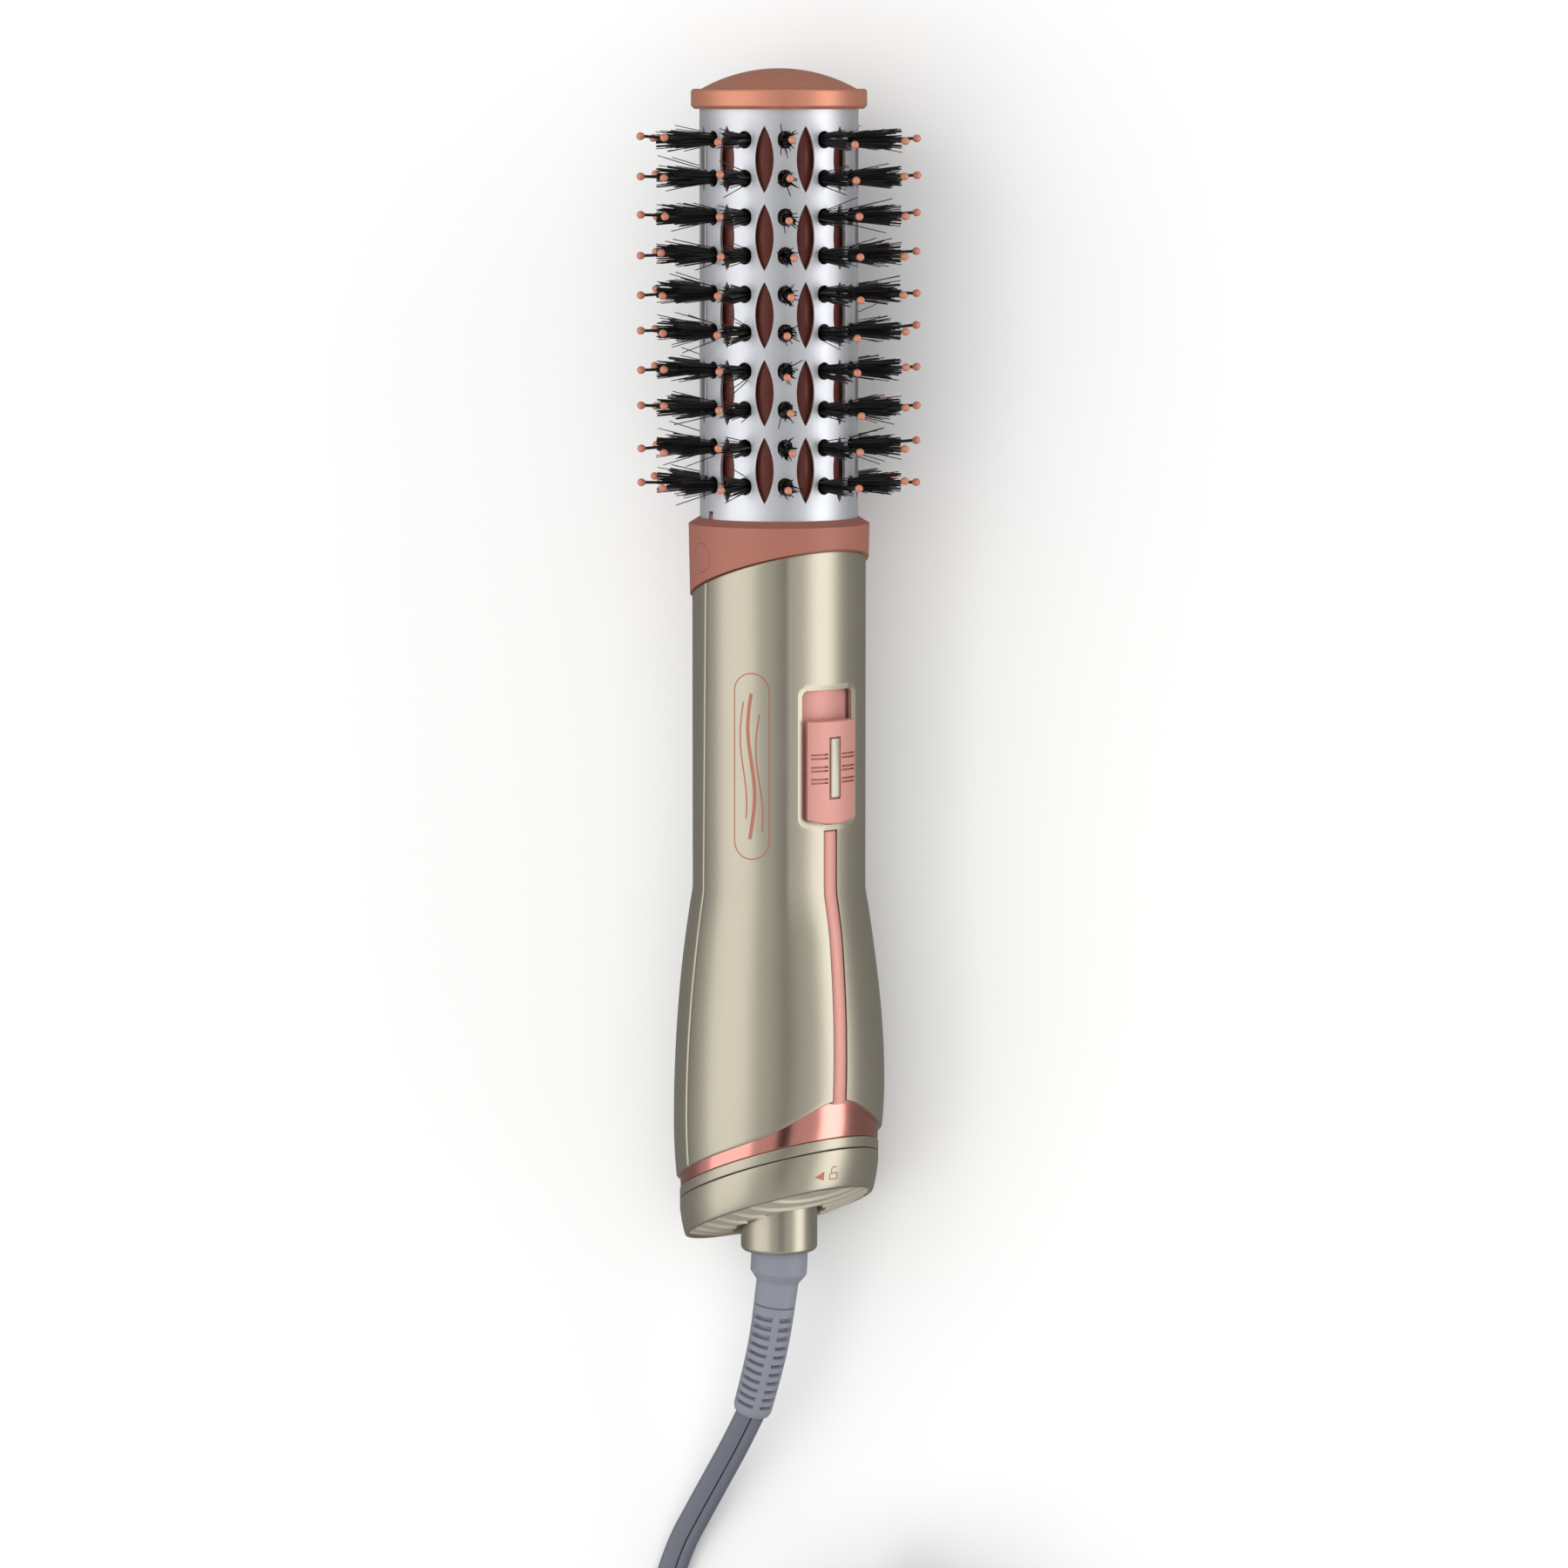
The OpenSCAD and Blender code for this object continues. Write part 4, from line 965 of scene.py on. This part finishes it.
def tail_cap():
    """The twist-off cap: slanted wall, rounded rim, and a floor of curved louvres."""
    foot, bore = RIM_MID, NECK_R + 1.35
    side = [(r, z, radius) for (z, r), radius in zip(CAP_SIDE, (0.3, 0, 0, 0, 0.5))]
    wall = softened([(21.2, CAP_SIDE[0][0], 0)] + side
                    + [(FLOOR_R + 0.1, foot - 0.1, 0.15), (FLOOR_R - 0.15, foot + 0.5, 0),
                       (FLOOR_R - 0.15, foot + 1.6, 0), (21.2, foot + 2, 0)])
    collar = softened([(bore, foot - 1.4, 0.2), (NECK_R + 2.3, foot - 1.75, 0.3),
                       (NECK_R + 2.3, foot + 0.2, 0), (bore, foot + 0.2, 0)])
    made = piece("tail_cap_wall", *turned(wall, TAIL_SLOPE, 192), "tail", "champagne_casing", "champagne",
                 sharp=30)
    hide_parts("tail_cap")
    piece("tail_cap_louvres", *louvres(), "tail", "champagne_casing", "champagne_vent", sharp=30)
    piece("tail_cap_hole_rim", *turned(collar, TAIL_SLOPE, 96), "tail", "champagne_casing", "champagne")


def neck():
    profile = softened([(7.2, NECK_LOW, 0.2), (NECK_R, NECK_LOW, 1.3), (NECK_R, -151, 0.2), (8.3, -151, 0),
                        (8.3, NECK_LOW + 2.5, 0), (7.2, NECK_LOW + 2.5, 0)], steps=8)
    made = piece("neck_sleeve", *turned(profile), "handle", "champagne_casing", "champagne")
    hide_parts("neck")


# ---- switch ----
GRIP_LINES = [line + half for line in (-56.2, -59.2, -62.1) for half in (0.45, -0.45)]
SEAT_TOP = -51.6
SEAT_FOOT = -66.6


def slider_face(x, z, foot):
    """Height of the slider's face over its own radius: rounded edges, grip grooves and the inlay's seat."""
    edge = np.minimum(np.minimum(SLIDER_X - np.abs(x), SLIDER_TOP - z), z - foot)
    height = -edge_drop(edge, 0.55)
    for line in GRIP_LINES:
        groove = (np.abs(x) > 2.05) & (np.abs(x) < 6.55) & (np.abs(z - line) < 0.21)
        height = height - np.where(groove, 0.8, 0)
    seat = (np.abs(x) < 1.68) & (z < SEAT_TOP) & (z > SEAT_FOOT)
    return height - np.where(seat, 0.9, 0)


def slider_cap():
    """The thumb slider, worked over a fine grid in its own face."""
    outer, wall, rim = 21.9, 2.0, np.linspace(0, 0.5, 6)[:-1]
    half = np.concatenate([[0.5, 1.2, 1.66, 1.7, 2.03, 2.07, 3, 4, 5, 6, 6.53, 6.57], SLIDER_X - rim[::-1]])
    xs = np.concatenate([-half[::-1], half])
    stops = [SEAT_TOP + 0.02, SEAT_TOP - 0.02, SEAT_FOOT + 0.02, SEAT_FOOT - 0.02]
    for line in GRIP_LINES:
        stops += [line - 0.23, line - 0.19, line + 0.19, line + 0.23]
    rows = np.sort(np.concatenate([SLIDER_TOP - rim, np.arange(-48.2, -71, -1.0), stops]))[::-1]
    foot = SLIDER_FOOT + 1.2 * (xs / SLIDER_X) ** 2
    last = np.array([1.0, 0.6] + list(rim[::-1]))
    z = np.concatenate([np.repeat(rows[:, None], len(xs), axis=1), foot[None, :] + last[:, None]])
    z = np.maximum(z, foot[None, :])
    x = xs[None, :] + 0 * z
    psi = np.degrees(np.arcsin(x / outer))
    skin = spun(outer + slider_face(x, z, foot[None, :]), psi, z)
    lining = spun(outer - wall + 0 * z, psi, z)
    count, width = z.shape
    points = np.concatenate([skin.reshape(-1, 3), lining.reshape(-1, 3)])
    back = count * width
    faces = grid(count, width, wrap=False) + grid(count, width, wrap=False, first=back)
    around = ([(0, j) for j in range(width - 1)] + [(i, width - 1) for i in range(count - 1)]
              + [(count - 1, j) for j in range(width - 1, 0, -1)] + [(i, 0) for i in range(count - 1, 0, -1)])
    around = [i * width + j for i, j in around]
    faces += [(here, then, back + then, back + here) for here, then in zip(around, around[1:] + around[:1])]
    made = piece("switch_slider_cap", points, faces, "slider", "rose_accent", "rose", sharp=35)
    stem = [[(x, y, z) for x, z in ((-1.5, -62), (1.5, -62), (1.5, -58), (-1.5, -58))]
            for y in (-20.2, -15.4)]
    piece("switch_slider_stem", *tube(stem), "slider", "rose_accent", "rose")
    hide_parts("switch_slider")


def slider_bar():
    """The pale bar let into the slider."""
    half, low, high, corner = 1.35, -66.2, -52.0, 0.35
    outline = softened([(-half, low, corner), (half, low, corner), (half, high, corner),
                        (-half, high, corner)])
    rings = []
    for shrink, r in ((0, 20.6), (0, 21.85), (0.08, 22.05), (0.25, 22.12)):
        ring = [(x - shrink * np.sign(x), z - shrink * np.sign(z - (low + high) / 2)) for x, z in outline]
        rings.append([spun(r, math.degrees(math.asin(x / r)), z) for x, z in ring])
    made = piece("slider_inlay_bar", *tube(rings), "slider", "inlay_cream", "cream", sharp=40)
    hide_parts("slider_inlay")


# ---- printed marks, generic ----
def printed(surface, left, right):
    """The four corners of a thin print from left to right across a surface, just proud of it."""
    proud, sunk = 0.035, -0.05
    return [surface(*left, proud), surface(*right, proud), surface(*right, sunk), surface(*left, sunk)]


def ribbon(path, width, surface, closed=False):
    """A thin printed line that follows a path (across, z) on a surface."""
    path = np.array(path, float)
    ahead = np.roll(path, -1, axis=0) - np.roll(path, 1, axis=0) if closed else np.gradient(path, axis=0)
    ahead /= np.linalg.norm(ahead, axis=1)[:, None]
    side = np.stack([-ahead[:, 1], ahead[:, 0]], axis=1) * width / 2
    rings = [printed(surface, p - s, p + s) for p, s in zip(path, side)]
    return (np.reshape(rings, (-1, 3)), ring_grid(len(path), 4)) if closed else tube(rings)


def on_casing(middle_psi):
    """Surface of the casing, across counted in millimetres from middle_psi."""
    def surface(across, z, lift):
        psi = middle_psi + math.degrees(across / GRIP_R)
        return tuple(spun(casing_r(z, psi) + lift, psi, z))
    return surface


def on_cap(middle_psi):
    """Side of the cap, across counted in millimetres from middle_psi, height along its slanted wall."""
    heights, radii = zip(*CAP_SIDE[::-1])

    def surface(across, z, lift):
        psi = middle_psi + math.degrees(across / TAIL_R)
        r = float(np.interp(z, heights, radii))
        return tuple(spun(r + lift, psi, z + TAIL_SLOPE * r * math.cos(math.radians(psi))))
    return surface


def wave_mark():
    """Three long streams of air in a slim frame, where the handle carries its print."""
    high, foot, half = -36.2, -80.8, 4.4
    surface = on_casing(-56.5)
    frame_line = softened([(-half, foot, half - 0.05), (half, foot, half - 0.05), (half, high, half - 0.05),
                           (-half, high, half - 0.05)], steps=14)
    parts = [ribbon(frame_line, 0.3, surface, closed=True)]
    for lane, (start, end, width) in enumerate(((-43, -71, 0.35), (-41, -76, 0.85), (-46, -74, 0.35))):
        heights = np.linspace(start, end, 60)
        across = (lane - 1) * 2.0 + 0.85 * np.sin((heights - start) / 5.2)
        parts.append(ribbon(np.stack([across, heights], axis=1), width, surface))
    piece("handle_wave_mark", *joined(parts), "handle", "copper_matte", "print_copper")


def turn_mark():
    """An arrow and an open padlock on the cap, showing which way it turns off."""
    surface = on_cap(-13)
    middle, tip, long, half, line = -166.6, -1.6, 2.6, 1.05, 0.28
    parts = [tube([printed(surface, (tip + long * s, middle - half * s), (tip + long * s, middle + half * s))
                   for s in np.linspace(0.02, 1, 9)])]
    body = softened([(2.6, middle - 1.0, 0.25), (4.8, middle - 1.0, 0.25), (4.8, middle + 0.4, 0.25),
                     (2.6, middle + 0.4, 0.25)], steps=3)
    parts.append(ribbon(body, line, surface, closed=True))
    bow = [(3.0, middle + 0.5)] + [(3.7 - 0.7 * math.cos(a), middle + 1.2 + 0.7 * math.sin(a))
                                   for a in np.linspace(0, 0.8 * math.pi, 9)]
    parts.append(ribbon(bow, line, surface))
    piece("tail_turn_mark", *joined(parts), "tail", "copper_matte", "print_copper")


tip_cap()
core()
tufts()
pins()
casing()
accent_strip()
accent_band()
tail_ring()
tail_cap()
neck()
slider_cap()
slider_bar()
wave_mark()
turn_mark()

# ---- CAD nodes that keep their shape ----
KEPT = {
    "steel": ["cap_screw", "shell_screws", "thermostat", "thermal_fuse", "motor_shaft"],
    "aluminium": ["barrel"],
    "strip_brown": [f"bristle_strip_{k:02d}" for k in range(1, COLUMNS + 1)],
    "copper_matte": ["collar", "latch_tongue", "release_button"],
    "filter": ["lint_filter"],
    "nylon": ["cord_clamp"],
    "duct": ["air_duct"],
    "mica": ["heater_frame"],
    "wire": ["heater_coil"],
    "motor": ["motor_case"],
    "dark": ["motor_mount", "fan_impeller", "rectifier_diodes", "switch_block", "test_button"],
    "board": ["rectifier_board"],
    "sleeve": ["lead_wires"],
    "rose": ["slider_skirt"],
    "plug": ["plug_body", "plug_relief"],
    "brass": ["plug_blades"],
    "red": ["reset_button"],
}
for look, names in KEPT.items():
    for name in names:
        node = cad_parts[name]
        node.data.materials.clear()
        node.data.materials.append(LOOKS[look])
